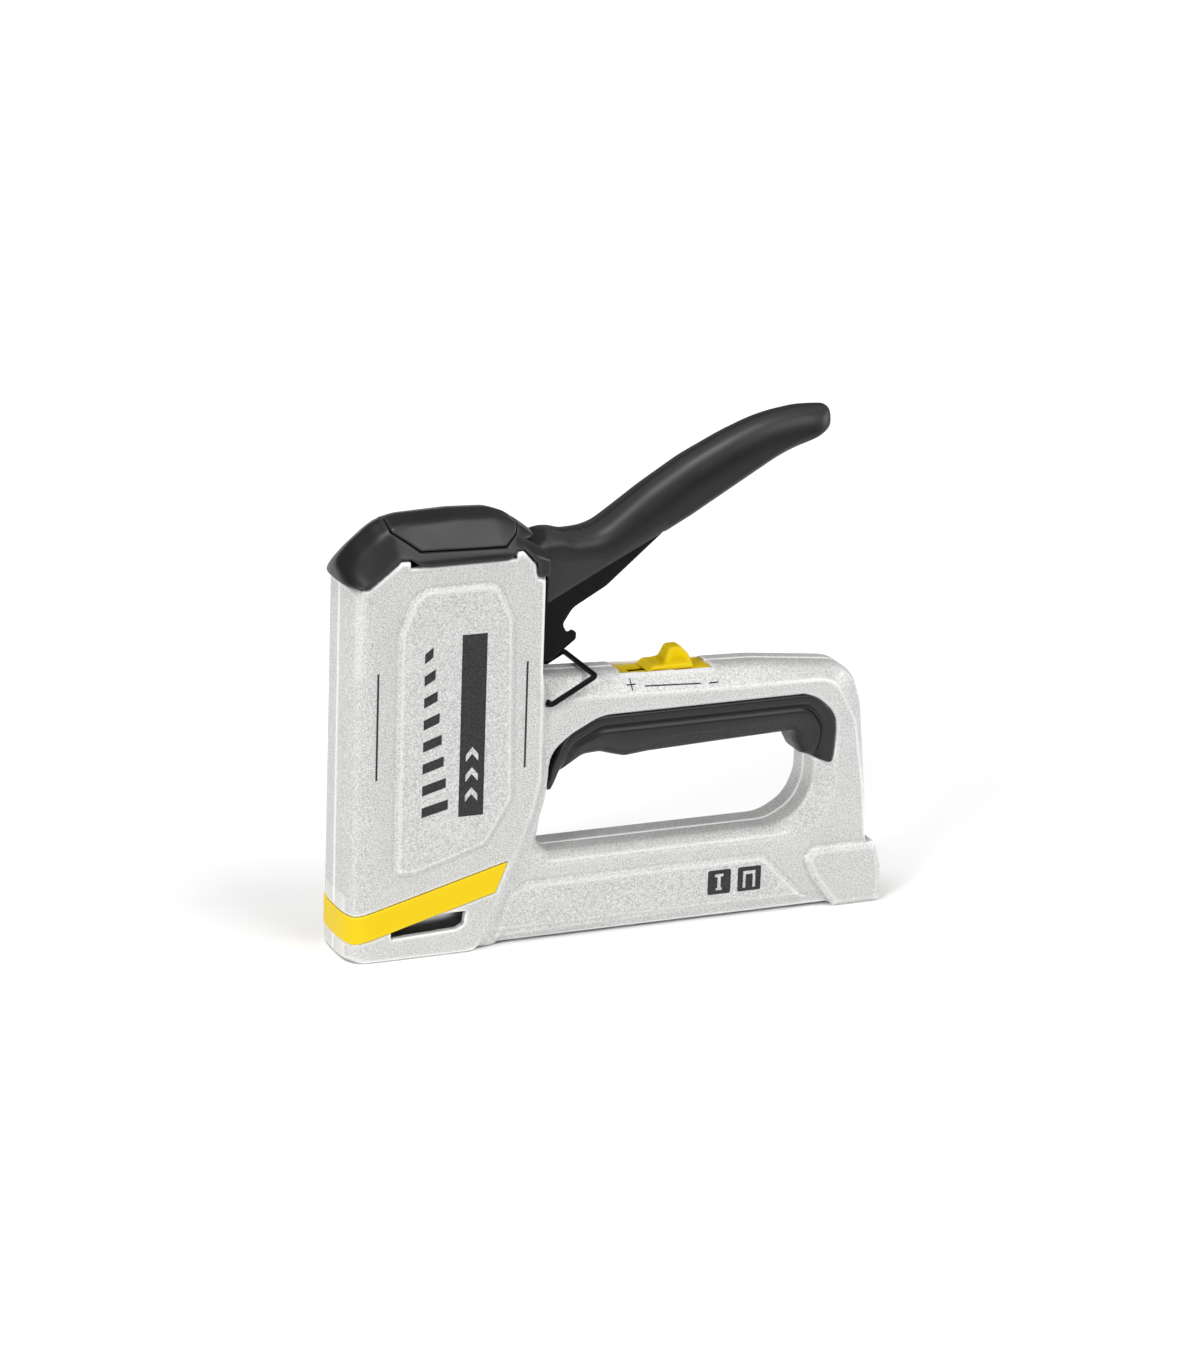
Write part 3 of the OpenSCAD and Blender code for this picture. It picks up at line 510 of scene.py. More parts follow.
def band_layer(x, z, skin):
    """Room that the band takes in the nose, from its back outwards."""
    return np.maximum(area_distance(BAND, x, z), -(skin + BAND_DEPTH))


def shells():
    low = (-1.5, -CELL, -1.5)
    high = (HEEL_X + 1.5, HEAD_Y + PANEL_RISE + 1.5, 141)
    x, y, z = grid(low, high, CELL)
    skin = casing_skin(x, y, z)
    void = casing_voids(x, y, z, skin)
    field = meet(meet(skin, -void, 0.5), SEAM_GAP - y, 0.35)
    field = meet(field, -band_layer(x, z, skin), 0.3)
    verts, quads = surface(field, low, CELL)
    left = make_object("left_shell_cast", verts * [1, -1, 1], quads[:, ::-1], "casing")
    mark_edges(left, bend_at(field, low, CELL, verts, EDGE_REACH))
    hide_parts("left_shell")
    for sx, sz in SCREW_SITES:
        across = np.hypot(x - sx, z - sz)
        recess = np.maximum(across - SCREW_HEAD_R, SCREW_SEAT_Y - y)
        field = meet(field, -recess, 0.6)
    right = solid("right_shell_cast", field, low, CELL, "casing", ["right_shell"])
    return left, right


def nose_band():
    low, high = (-1.5, -16, 5), (59, 16, 33)
    x, y, z = grid(low, high, FINE)
    skin = casing_skin(x, y, z)
    strip = area_distance(BAND, x, z)
    field = meet(meet(skin - BAND_PROUD, strip + 0.12, 0.35), -(skin + BAND_DEPTH - 0.1), 0.2)
    return solid("nose_band_moulding", field, low, FINE, "casing", ["nose_band"])


# ---- Cap ------------------------------------------------------------------------------------------

def soften(plane, radius, cell):
    """Running average of a height map, which rounds its creases."""
    width = max(1, int(round(radius / cell)))
    for axis in (0, 1):
        for _ in range(2):
            padded = np.pad(plane, [(width, width) if n == axis else (0, 0) for n in (0, 1)], "edge")
            total = np.cumsum(padded, axis)
            first = np.take(total, range(2 * width, total.shape[axis]), axis)
            last = np.take(total, range(0, total.shape[axis] - 2 * width), axis)
            plane = (first - last) / (2 * width)
    return plane


def cap_skin(x, y, z, cell):
    """Faceted outside of the cap, bowed at its front like the nose, with softened creases."""
    stations = np.array(CAP_STATIONS)
    along, side = x[:, :, 0], np.abs(y[:, :, 0])
    ratio = np.clip(side / CAP_Y, 0, 1)
    along = along - CAP_BOW * ratio ** 3 * np.clip(1.3 - along / 20, 0, 1)
    middle, shoulder, edge, half = [np.interp(along, stations[:, 0], stations[:, n]) for n in (1, 2, 3, 4)]
    inner = middle + (shoulder - middle) * side / SHOULDER_Y
    outer = shoulder + (edge - shoulder) * (side - SHOULDER_Y) / (half - SHOULDER_Y)
    top = soften(np.where(side < SHOULDER_Y, inner, outer), 1.1, cell)
    roof = (z - top[:, :, None]) * 0.72
    walls = (side - half)[:, :, None]
    slope = 3 * CAP_BOW * ratio ** 2 / CAP_Y
    front = ((CAP_FRONT + 0.1 - along) / np.sqrt(1 + slope ** 2))[:, :, None]
    skin = meet(meet(roof, walls, 0.9), front, 2.2)
    return meet(skin, x - CAP_END, 0.8)


def cap():
    low, high = (-2, -17, 126), (71.5, 17, 152.4)
    x, y, z = grid(low, high, FINE)
    skin = cap_skin(x, y, z, FINE)
    below = area_distance(BELOW_CAP, x, z)
    panel = area_distance(CAP_PANEL, x, z)
    gap = block(x, y, z, (60, -LEVER_Y - 0.3, 100), (90, LEVER_Y + 0.3, 141))
    hollow = join(skin + CAP_WALL, gap, 0.3)
    field = meet(meet(skin, -below, 0.7), -hollow, 0.4)
    field = meet(field, -np.maximum(panel - 0.4, -(skin + LID_POCKET)), 0.35)
    body = solid("top_cap_moulding", field, low, FINE, "casing", ["top_cap"])
    lid = meet(meet(skin, panel, 0.5), -(skin + LID), 0.3)
    return body, solid("cap_panel_moulding", lid, low, FINE, "casing", ["cap_panel"])


# ---- Grip and lever -------------------------------------------------------------------------------

def grip():
    """Soft grip: a lip along its top edge, a groove, and a rounded lower roll with a lattice."""
    low, high = (71, -13.5, 47.5), (179.5, 13.5, 79)
    x, y, z = grid(low, high, FINE)
    side = np.abs(y)
    area = area_distance(GRIP_TOP + GRIP_LOW, x, z)
    depth = line_distance(outline(GRIP_TOP[-1:] + GRIP_LOW + GRIP_TOP[:1]), x, z)
    lip = line_distance(outline(GRIP_TOP), x, z)
    roll = 4.0 + 8.0 * np.sqrt(np.clip(1 - (1 - np.clip(depth / 9, 0, 1)) ** 2, 0, 1))
    groove = GROOVE_DEPTH * np.exp(-((lip - GROOVE_AT) / 0.9) ** 2)
    rim = 0.4 * smooth((3.4 - lip) / 0.8)
    lattice = np.sin(LATTICE_PITCH * (x + 0.9 * z)) * np.sin(LATTICE_PITCH * (x - 0.9 * z))
    patch = smooth((x - 108) / 10) * smooth((163 - x) / 4)
    patch = patch * smooth((depth - 1.2) / 0.8) * smooth((6.6 - depth) / 0.8)
    width = np.minimum(roll, HANDLE_Y) - groove + rim - LATTICE_DEPTH * patch * smooth(lattice + 0.6)
    field = meet((side - width) * 0.8, area, 1.0)
    return solid("grip_insert_rubber", field, low, FINE, "casing", ["grip_insert"])


def height_line(corners, x, first):
    """Height of an outline's points along the tool, averaged over a few millimetres, and its slope."""
    points = outline(corners)
    points = points[points[:, 0] >= first]
    points = points[np.argsort(points[:, 0])]
    along = np.arange(points[0, 0] - 12, points[-1, 0] + 12, 0.25)
    height = np.interp(along, points[:, 0], points[:, 1])
    window = np.hanning(31) / np.hanning(31).sum()
    height = np.convolve(np.pad(height, 15, "edge"), window, "valid")
    return np.interp(x, along, height), np.interp(x, along, np.gradient(height, along))


def lever_grip():
    """Lever cover: a boxed root that flows into a rounded, tapering arm."""
    low, high = (65.5, -12, 114.5), (177, 12, 177.5)
    x, y, z = grid(low, high, FINE)
    side = np.abs(y)
    area = area_distance(LEVER_LOW + LEVER_TOP, x, z)
    height, slope = height_line([[176, 175.6]] + LEVER_CROWN, x, 73)
    top = (height - z) / np.sqrt(1 + slope ** 2)
    bottom = line_distance(outline(LEVER_LOW + LEVER_TOP[:1])[:-1], x, z)
    arm = smooth((x - 78) / 34)
    reach = 6.5 + 4.5 * arm
    power = 2.5 - 0.3 * arm
    plan = LEVER_Y + 0.1 * arm - 1.0 * smooth((x - 100) / 60)
    plan = plan * np.sqrt(np.clip(1 - np.clip((x - 164.6) / 10.4, 0, 1) ** 2.4, 0, 1))
    crown = (1 - (1 - np.clip(top / reach, 0, 1)) ** power) ** (1 / power)
    edge = 0.8 * np.clip(2.0 - bottom, 0, 2.0) * smooth((168 - x) / 10)
    field = meet((side - plan * crown + edge) * 0.85, area, 1.6)
    pocket = np.maximum(area_distance(LEVER_POCKET, x, z), side - LEVER_POCKET_Y)
    field = meet(field, -pocket, 0.4)
    return solid("lever_grip_moulding", field, low, FINE, "lever", ["lever_grip"])


def lever_channel():
    """Folded steel channel in the lever: two cheeks joined by a web along their top."""
    low, high = (18, -10.4, 91), (112, 10.4, 138)
    x, y, z = grid(low, high, FINE)
    side = np.abs(y)
    cheeks = meet(area_distance(CHANNEL, x, z), side - CHEEK_Y, 0.9)
    inside = np.maximum(side - CHEEK_INNER_Y, -area_distance(CHANNEL_FOLD, x, z))
    field = meet(cheeks, -inside, 0.3)
    bore = np.hypot(x - PIVOT[0], z - PIVOT[1]) - PIVOT_R
    lifter = np.hypot(x - LIFTER[0], z - LIFTER[1]) - LIFTER_R
    field = np.maximum(field, -np.minimum(bore, lifter))
    return solid("lever_channel_folded", field, low, FINE, "lever", ["lever_channel"])


# ---- Marks ----------------------------------------------------------------------------------------

def skin_y(x, z):
    """Half width of the casing at each point of the side view, found by halving."""
    low, high = np.full(len(x), 4.0), np.full(len(x), HEAD_Y + 2.0)
    for _ in range(16):
        middle = (low + high) / 2
        inside = casing_skin(x, middle, z) < 0
        low, high = np.where(inside, middle, low), np.where(inside, high, middle)
    return low


def mark(name, shapes, side):
    """Thin layer of flat shapes laid on the casing; each shape is an outline with its holes."""
    verts, faces = [], []
    for loops in shapes:
        base = len(verts)
        points = np.array([p for loop in loops for p in loop], float)
        depth = skin_y(points[:, 0], points[:, 1])
        count = len(points)
        for rise in (MARK_PROUD, -MARK_SUNK):
            verts += [(x, side * (d + rise), z) for (x, z), d in zip(points, depth)]
        for tri in tessellate_polygon([[Vector((x, z, 0)) for x, z in loop] for loop in loops]):
            a, b, c = (base + n for n in tri)
            faces += [(a, b, c), (c + count, b + count, a + count)]
        start = base
        for loop in loops:
            n = len(loop)
            faces += [(start + k, start + (k + 1) % n, start + count + (k + 1) % n, start + count + k)
                      for k in range(n)]
            start += n
    piece = make_object(name, verts, faces, "casing", smooth_shade=False)
    tidy = bmesh.new()
    tidy.from_mesh(piece.data)
    bmesh.ops.recalc_face_normals(tidy, faces=tidy.faces)
    tidy.to_mesh(piece.data)
    tidy.free()
    # Dark layer: print, or painted shade where the shapes stand for engraved grooves
    paint(piece, INK_AND_GROOVE_SHADE)
    return piece


def rectangle(x0, z0, x1, z1, slant=0.0):
    return [(x0, z0), (x1, z0 + slant), (x1, z1 + slant), (x0, z1)]


def rounded(x0, z0, x1, z1, r):
    return [tuple(p) for p in outline([[x0, z0, r], [x1, z0, r], [x1, z1, r], [x0, z1, r]], 4)]


def marks():
    """Painted shade in the engraved slots and power scale marks, fastener signs and a plain striped ornament.
    """
    for side, tag in ((-1, "left"), (1, "right")):
        slots = [[rectangle(9.4, 64.2, 10.1, 101)], [rectangle(61.8, 63.4, 62.5, 100.3)]]
        scale = [[rectangle(100.4, 86.2, 103.7, 86.6)], [rectangle(101.85, 84.7, 102.25, 88.1)],
                 [[(106.8, 85.4), (127, 84.4), (127, 84.8), (106.8, 85.8)]],
                 [rectangle(130.2, 84.2, 133.5, 84.6)]]
        # The slots and the power scale are engraved; their dark layers are painted shade in the grooves.
        mark("slots_painted_shade_" + tag, slots, side)
        mark("power_scale_painted_shade_" + tag, scale, side)
        brad = [(134.4, 10.8), (136.6, 10.8), (136.6, 11.7), (136.1, 11.7), (136.1, 15.6), (137.1, 15.6),
                (137.1, 16.6), (133.9, 16.6), (133.9, 15.6), (134.9, 15.6), (134.9, 11.7), (134.4, 11.7)]
        staple = [(144.4, 10.6), (145.4, 10.6), (145.4, 15.4), (148, 15.4), (148, 10.6), (149, 10.6),
                  (149, 16.6), (144.4, 16.6)]
        signs = [[rounded(131.3, 9.4, 139.8, 18.1, 0.7), brad],
                 [rounded(142.4, 9.4, 151, 18.1, 0.7), staple]]
        mark("fastener_signs_" + tag, signs, side)
        bars = [[rectangle(25.4, 50 + 7.6 * n, 25.4 + 9.2 - 0.9 * n, 53.4 + 7.6 * n, 2.2)]
                for n in range(8)]
        chevrons = [[(40.6, z), (42.8, z + 2.6), (45, z), (45, z + 2.4), (42.8, z + 5), (40.6, z + 2.4)]
                    for z in (54, 61, 68)]
        mark("stripes_" + tag, bars + [[rectangle(38.4, 49, 47.2, 112)] + chevrons], side)


# ---- Wire, springs and small parts ------------------------------------------------------------------

def rounded_path(corners, radius, steps=6):
    """Open 3-D path whose inner corners are rounded."""
    path = [np.array(corners[0], float)]
    for a, b, c in zip(corners, corners[1:], corners[2:]):
        a, b, c = (np.array(p, float) for p in (a, b, c))
        start = b + (a - b) / np.linalg.norm(a - b) * radius
        end = b + (c - b) / np.linalg.norm(c - b) * radius
        for k in range(steps + 1):
            t = k / steps
            path.append((1 - t) ** 2 * start + 2 * t * (1 - t) * b + t * t * end)
    return np.array(path + [np.array(corners[-1], float)])


def tube(name, path, radius, body, sides=14):
    """Round wire along a path, closed by rounded ends."""
    path = np.asarray(path, float)
    along = np.gradient(path, axis=0)
    along /= np.linalg.norm(along, axis=1)[:, None]
    path = np.concatenate([path[:1], path, path[-1:]])
    along = np.concatenate([along[:1], along, along[-1:]])
    width = np.concatenate([[0.55 * radius], np.full(len(path) - 2, radius), [0.55 * radius]])
    path[0] -= along[0] * 0.3 * radius
    path[-1] += along[-1] * 0.3 * radius
    across = np.cross(along[0], (0.3, 0.5, 0.8))
    verts = []
    for centre, way, r in zip(path, along, width):
        across = across - way * (across @ way)
        across /= np.linalg.norm(across)
        third = np.cross(way, across)
        verts += [centre + r * (math.cos(a) * across + math.sin(a) * third)
                  for a in np.linspace(0, 2 * math.pi, sides, endpoint=False)]
    faces = [(i * sides + k, i * sides + (k + 1) % sides, (i + 1) * sides + (k + 1) % sides,
              (i + 1) * sides + k) for i in range(len(path) - 1) for k in range(sides)]
    last = (len(path) - 1) * sides
    faces += [tuple(range(sides - 1, -1, -1)), tuple(range(last, last + sides))]
    return make_object(name, verts, faces, body)


def lock_wire():
    a = math.radians(LOCK_REST)
    bar = (LOCK[0] + LOCK_L * math.cos(a), LOCK[1] + LOCK_L * math.sin(a))
    corners = [(LOCK[0], -LOCK_FOOT_Y, LOCK[1]), (LOCK[0], -LOCK_LEG_Y, LOCK[1]),
               (bar[0], -LOCK_LEG_Y, bar[1]), (bar[0], LOCK_LEG_Y, bar[1]),
               (LOCK[0], LOCK_LEG_Y, LOCK[1]), (LOCK[0], LOCK_FOOT_Y, LOCK[1])]
    piece = tube("lock_wire_bent", rounded_path(corners, 1.5), LOCK_R, "lock")
    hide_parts("lock_wire")
    return piece


def coil(node, axis, start, r, wire, length, turns, steps=28):
    """Coil spring that starts at a point and runs along an axis (0 is x, 1 is y, 2 is z)."""
    t = np.linspace(0, 1, int(turns * steps) + 1)
    rho = r - wire
    points = np.stack([rho * np.cos(2 * math.pi * turns * t), rho * np.sin(2 * math.pi * turns * t),
                       wire + (length - 2 * wire) * t], 1)
    order = {0: [2, 0, 1], 1: [0, 2, 1], 2: [0, 1, 2]}[axis]
    body = body_of(nodes[node])[0]
    piece = tube(node + "_coil", points[:, order] + np.array(start, float), wire, body, 10)
    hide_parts(node)
    paint(piece, SPRING_STEEL)
    return piece


def springs():
    """The four coil springs; those that a slide presses get meshes of their own."""
    main = coil("main_spring", 2, (21, 0, 105.2), 6.4, 0.9, 27.8, 5.5)
    coil("lever_spring", 1, (64, -4.5, 129), 4.6, 0.6, 9, 5.5)
    feed = coil("pusher_spring", 0, (20.2, 0, 7.5), 2.4, 0.3, 163.6, 34)
    catch = coil("latch_spring", 0, (187.5, 0, 7.5), 1.4, 0.25, 4.3, 5)
    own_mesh(main)
    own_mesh(feed)
    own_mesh(catch)


def power_slider():
    """Slider with a broad skirt and a knob whose front leans back."""
    low, high = (SLIDER_X - 1, -6.4, 83.5), (SLIDER_X + 18, 6.4, 97)
    x, y, z = grid(low, high, FINE * 0.7)
    x = x - SLIDER_X
    side = np.abs(y)
    skirt = meet(side - 5.4, area_distance(SLIDER_SKIRT, x, z), 0.9)
    knob = meet(side - 3.9 + 0.7 * smooth((z - 90) / 6), area_distance(SLIDER_KNOB, x, z), 1.4)
    top = np.maximum(join(skirt, knob, 2.4), SLIDER_FLOOR - z)
    stem = block(x, y, z, (4.6, -1.2, 84.2), (11.6, 1.2, 89))
    return solid("power_slider_moulding", np.minimum(top, stem), low, FINE * 0.7, "selector",
                 ["power_slider"])


def softened(node, width):
    """Copy of a CAD piece with small rounds on its sharp edges."""
    source = nodes[node]
    work = bmesh.new()
    work.from_mesh(source.data)
    work.transform(source.matrix_world)
    bmesh.ops.remove_doubles(work, verts=work.verts, dist=2e-6)
    bmesh.ops.dissolve_limit(work, angle_limit=math.radians(1), verts=work.verts, edges=work.edges)
    sharp = [e for e in work.edges if len(e.link_faces) == 2 and e.calc_face_angle(0) > math.radians(35)]
    bmesh.ops.bevel(work, geom=sharp, offset=width * MM, segments=2, profile=0.5, affect="EDGES",
                    clamp_overlap=True)
    for face in work.faces:
        face.smooth = True
    for edge in work.edges:
        edge.smooth = len(edge.link_faces) == 2 and edge.calc_face_angle(0) < math.radians(50)
    bmesh.ops.triangulate(work, faces=[f for f in work.faces if len(f.verts) > 4])
    mesh = bpy.data.meshes.new(node + "_finished")
    work.to_mesh(mesh)
    work.free()
    piece = bpy.data.objects.new(node + "_finished", mesh)
    bpy.context.scene.collection.objects.link(piece)
    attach(piece, *body_of(source))
    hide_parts(node)
    paint(piece, FINISHES[SLOT_OF[node]])
    return piece


# ---- Camera, light and floor ----------------------------------------------------------------------

def camera():
    azimuth, elevation, roll = map(math.radians, CAMERA_TURN)
    back = Vector((math.sin(azimuth) * math.cos(elevation), -math.cos(azimuth) * math.cos(elevation),
                   math.sin(elevation)))
    right = Vector((math.cos(azimuth), math.sin(azimuth), 0))
    up = back.cross(right)
    tilted_right = right * math.cos(roll) + up * math.sin(roll)
    tilted_up = up * math.cos(roll) - right * math.sin(roll)
    lens = bpy.data.cameras.new("camera")
    lens.lens = CAMERA_LENS
    lens.sensor_width = 36
    lens.clip_end = 20
    eye = bpy.data.objects.new("camera", lens)
    bpy.context.scene.collection.objects.link(eye)
    turn = Matrix((tilted_right, tilted_up, back)).transposed().to_4x4()
    eye.matrix_world = Matrix.Translation(Vector(CAMERA_TARGET) + back * CAMERA_DISTANCE) @ turn
    bpy.context.scene.camera = eye


def sun(name, aim, strength, softness):
    """Soft directional light that shines along aim."""
    lamp = bpy.data.lights.new(name, "SUN")
    lamp.energy = strength
    lamp.angle = math.radians(softness)
    light = bpy.data.objects.new(name, lamp)
    bpy.context.scene.collection.objects.link(light)
    light.rotation_euler = Vector(aim).to_track_quat("-Z", "Y").to_euler()


def studio():
    world = bpy.data.worlds.new("studio")
    world.use_nodes = True
    world.node_tree.nodes["Background"].inputs["Color"].default_value = (1, 1, 1, 1)
    world.node_tree.nodes["Background"].inputs["Strength"].default_value = WORLD_STRENGTH
    bpy.context.scene.world = world
    for name, aim, strength, softness in SUNS:
        sun(name, aim, strength, softness)
    bpy.context.scene.view_settings.view_transform = "Standard"
    bpy.ops.mesh.primitive_plane_add(size=12, location=(0, 0, 0))
    floor = bpy.context.object
    floor.name = "floor"
    floor.data.materials.append(floor_material())


# ---- Materials ------------------------------------------------------------------------------------

class Shader:
    """A node material with short calls for what the materials here share."""

    def __init__(self, name):
        self.material = bpy.data.materials.new(name)
        self.material.use_nodes = True
        self.tree = self.material.node_tree
        self.surface = self.tree.nodes["Principled BSDF"]
        self.place = self.add("ShaderNodeTexCoord").outputs["Object"]

    def add(self, kind, **values):
        node = self.tree.nodes.new(kind)
        for key, value in values.items():
            if key in node.inputs:
                node.inputs[key].default_value = value
            else:
                setattr(node, key, value)
        return node

    def link(self, source, target):
        self.tree.links.new(source, target)

    def noise(self, size_mm, detail=2.0, roughness=0.5):
        node = self.add("ShaderNodeTexNoise", Scale=1000.0 / size_mm, Detail=detail, Roughness=roughness)
        self.link(self.place, node.inputs["Vector"])
        return node.outputs["Fac"]

    def flakes(self, size_mm):
        node = self.add("ShaderNodeTexVoronoi", Scale=1000.0 / size_mm)
        self.link(self.place, node.inputs["Vector"])
        grey = self.add("ShaderNodeRGBToBW")
        self.link(node.outputs["Color"], grey.inputs["Color"])
        return grey.outputs["Val"]

    def ramp(self, value, stops):
        node = self.add("ShaderNodeValToRGB")
        while len(node.color_ramp.elements) < len(stops):
            node.color_ramp.elements.new(0.5)
        for element, (place, tone) in zip(node.color_ramp.elements, stops):
            element.position = place
            element.color = (*tone, 1) if len(tone) == 3 else tone
        self.link(value, node.inputs["Fac"])
        return node.outputs["Color"]

    def span(self, value, low, high, to_low, to_high):
        node = self.add("ShaderNodeMapRange")
        for key, number in zip(("From Min", "From Max", "To Min", "To Max"), (low, high, to_low, to_high)):
            node.inputs[key].default_value = number
        self.link(value, node.inputs["Value"])
        return node.outputs["Result"]

    def bump(self, height, depth_mm, strength=1.0, below=None):
        node = self.add("ShaderNodeBump", Strength=strength, Distance=depth_mm / 1000)
        self.link(height, node.inputs["Height"])
        if below is not None:
            self.link(below, node.inputs["Normal"])
        return node.outputs["Normal"]

    def edges(self, color, light, crease_shade, most=0.2):
        """Paints a highlight on the convex edges of a color, and paints shade into its creases."""
        bend = self.add("ShaderNodeAttribute", attribute_name="bend").outputs["Fac"]
        color = self.blend(color, light, self.span(bend, 0.02, most, 0.0, 0.85))
        return self.blend(color, crease_shade, self.span(bend, -0.02, -most, 0.0, 0.6))

    def blend(self, a, b, factor, kind="MIX"):
        node = self.add("ShaderNodeMix", data_type="RGBA", blend_type=kind)
        for value, socket in ((factor, 0), (a, 6), (b, 7)):
            if hasattr(value, "is_output"):
                self.link(value, node.inputs[socket])
            else:
                node.inputs[socket].default_value = value if socket == 0 else (*value, 1)
        return node.outputs[2]

    def finish(self, color=None, roughness=None, normal=None, **fixed):
        for key, value in fixed.items():
            self.surface.inputs[key.replace("_", " ")].default_value = value
        for key, value in (("Base Color", color), ("Roughness", roughness), ("Normal", normal)):
            if value is not None:
                self.link(value, self.surface.inputs[key])
        return self.material


def cast_material():
    """Silver sparkle powder coat over a fine cast grain."""
    s = Shader("sparkle_coat")
    grain = s.noise(0.5, 3.0, 0.6)
    flakes = s.flakes(0.36)
    drift = s.noise(14, 2.0)
    tone = s.ramp(grain, [(0.30, (0.36, 0.36, 0.355)), (0.47, (0.60, 0.60, 0.59)),
                          (0.64, (0.78, 0.78, 0.77))])
    spark = s.ramp(flakes, [(0.15, (0.68, 0.68, 0.68)), (0.5, (0.9, 0.9, 0.9)), (0.88, (1, 1, 1))])
    color = s.blend(tone, spark, 0.8, "MULTIPLY")
    color = s.blend(color, (0.8, 0.8, 0.79), s.span(drift, 0.3, 0.7, 0.0, 0.1))
    # Painted highlight on the convex edges and painted shade in the creases
    color = s.edges(color, (0.9, 0.9, 0.89), (0.25, 0.25, 0.25))
    rough = s.span(flakes, 0.1, 0.9, 0.58, 0.36)
    normal = s.bump(grain, 0.02, 0.5, s.bump(flakes, 0.008, 0.5))
    return s.finish(color, rough, normal, Metallic=0.1)


def plastic_material(name, tone, light, rough, shine=0.5, grain_mm=0.35):
    """Moulded plastic with spark-eroded grain and faint flow marks."""
    s = Shader(name)
    grain = s.noise(grain_mm, 3.0, 0.55)
    drift = s.noise(22, 3.0)
    color = s.blend(tone, light, s.span(drift, 0.3, 0.7, 0.0, 1.0))
    # Painted highlight on the convex edges and painted shade in the creases
    color = s.edges(color, tuple(t + EDGE_HIGHLIGHT_TINT for t in light), tuple(0.3 * t for t in tone))
    roughness = s.span(drift, 0.25, 0.75, rough - 0.04, rough + 0.05)
    normal = s.bump(grain, 0.02, 0.45, s.bump(s.noise(4, 2.0), 0.015, 0.25))
    return s.finish(color, roughness, normal, Specular_IOR_Level=shine)


def rubber_material():
    s = Shader("soft_rubber")
    grain = s.noise(0.25, 4.0, 0.6)
    drift = s.noise(12, 2.0)
    color = s.blend((0.009, 0.009, 0.009), (0.015, 0.015, 0.015), drift)
    roughness = s.span(grain, 0.2, 0.8, 0.34, 0.46)
    return s.finish(color, roughness, s.bump(grain, 0.01, 0.4), Specular_IOR_Level=0.4)


def black_steel_material():
    s = Shader("black_oxide_steel")
    scale = s.noise(1.6, 5.0, 0.65)
    wear = s.noise(7, 4.0, 0.7)
    color = s.ramp(wear, [(0.35, (0.002, 0.002, 0.002)), (0.7, (0.005, 0.005, 0.005))])
    roughness = s.span(scale, 0.25, 0.75, 0.36, 0.5)
    return s.finish(color, roughness, s.bump(scale, 0.015, 0.5), Specular_IOR_Level=0.12)


def steel_material(name, tone, rough, brush=(1, 30, 30)):
    """Bright steel brushed along the tool."""
    s = Shader(name)
    stretch = s.add("ShaderNodeMapping")
    stretch.inputs["Scale"].default_value = brush
    s.link(s.place, stretch.inputs["Vector"])
    lines = s.add("ShaderNodeTexNoise", Scale=220.0, Detail=4.0)
    s.link(stretch.outputs["Vector"], lines.inputs["Vector"])
    fac = lines.outputs["Fac"]
    spots = s.noise(6, 3.0)
    color = s.blend(tuple(0.8 * t for t in tone), tone, s.span(spots, 0.3, 0.7, 0, 1))
    roughness = s.span(fac, 0.3, 0.7, rough - 0.07, rough + 0.1)
    return s.finish(color, roughness, s.bump(fac, 0.01, 0.5), Metallic=1.0)


def ink_and_groove_shade_material():
    # Dark print for the signs and stripes, also used as painted shade in the engraved slots and power scale
    # marks
    s = Shader("pad_print_ink_and_groove_shade")
    grain = s.noise(0.5, 3.0)
    color = s.blend((0.012, 0.012, 0.013), (0.040, 0.040, 0.041), s.span(grain, 0.35, 0.65, 0, 1))
    return s.finish(color, s.span(grain, 0.3, 0.7, 0.45, 0.6), s.bump(grain, 0.03, 0.6),
                    Specular_IOR_Level=0.3)


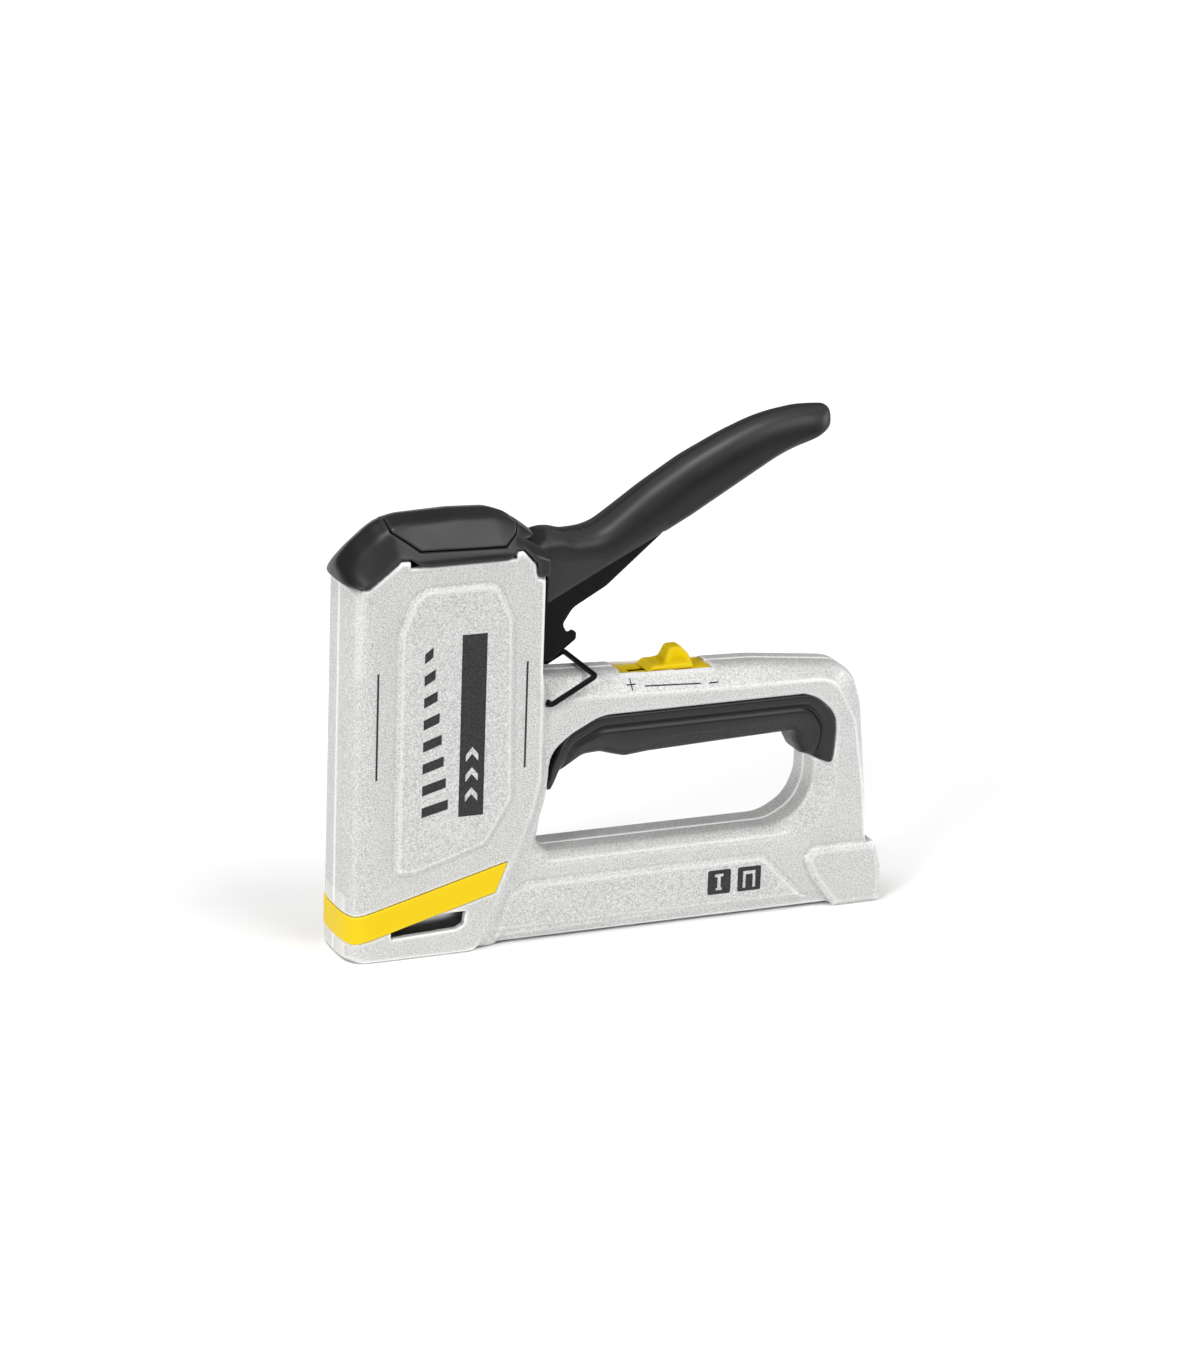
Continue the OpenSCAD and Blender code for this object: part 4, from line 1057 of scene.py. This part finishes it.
def floor_material():
    s = Shader("studio_floor")
    drift = s.noise(300, 2.0)
    color = s.blend((0.90, 0.90, 0.90), (0.93, 0.93, 0.93), drift)
    return s.finish(color, s.span(drift, 0.3, 0.7, 0.6, 0.7))


def paint(target, material):
    target.data.materials.clear()
    target.data.materials.append(material)


# ---- Assembly -------------------------------------------------------------------------------------

camera()
studio()
CAST = cast_material()
CAP_PLASTIC = plastic_material("cap_plastic", (0.009, 0.009, 0.0088), (0.013, 0.013, 0.0127), 0.36, 0.3)
LEVER_PLASTIC = plastic_material("lever_plastic", (0.008, 0.008, 0.0078), (0.012, 0.012, 0.0117), 0.44,
                                 0.36)
YELLOW = plastic_material("yellow_plastic", (0.74, 0.52, 0.0), (0.80, 0.57, 0.0), 0.4, 0.08)
BLACK_PLASTIC = plastic_material("black_plastic", (0.008, 0.008, 0.008), (0.012, 0.012, 0.012), 0.45, 0.25)
RUBBER = rubber_material()
BLACK_STEEL = black_steel_material()
STEEL = steel_material("zinc_steel", (0.62, 0.62, 0.64), 0.32)
SPRING_STEEL = steel_material("spring_steel", (0.34, 0.34, 0.36), 0.3, (8, 8, 8))
INK_AND_GROOVE_SHADE = ink_and_groove_shade_material()
FINISHES = {"cast": CAST, "cap": CAP_PLASTIC, "lever_plastic": LEVER_PLASTIC, "grip": RUBBER,
            "band": YELLOW, "black_steel": BLACK_STEEL, "steel": STEEL, "spring_steel": SPRING_STEEL,
            "black_plastic": BLACK_PLASTIC, "bumper_rubber": RUBBER}
SLOT_OF = {s["node"]: s["material_slot"] for s in frame["record"]["subparts"]}
for node_name, node_object in nodes.items():
    paint(node_object, FINISHES[SLOT_OF[node_name]])

for shell in shells():
    paint(shell, CAST)
for moulding in cap():
    paint(moulding, CAP_PLASTIC)
paint(nose_band(), YELLOW)
paint(grip(), RUBBER)
paint(lever_grip(), LEVER_PLASTIC)
paint(lever_channel(), BLACK_STEEL)
paint(power_slider(), YELLOW)
paint(lock_wire(), BLACK_STEEL)
springs()
for small_part in SOFTENED:
    softened(small_part, 0.25)
# The rivets end just inside the lever cover
bpy.data.objects["grip_rivets_finished"].data.transform(Matrix.Scale(RIVET_SHORTENING, 4, (0, 1, 0)))
marks()
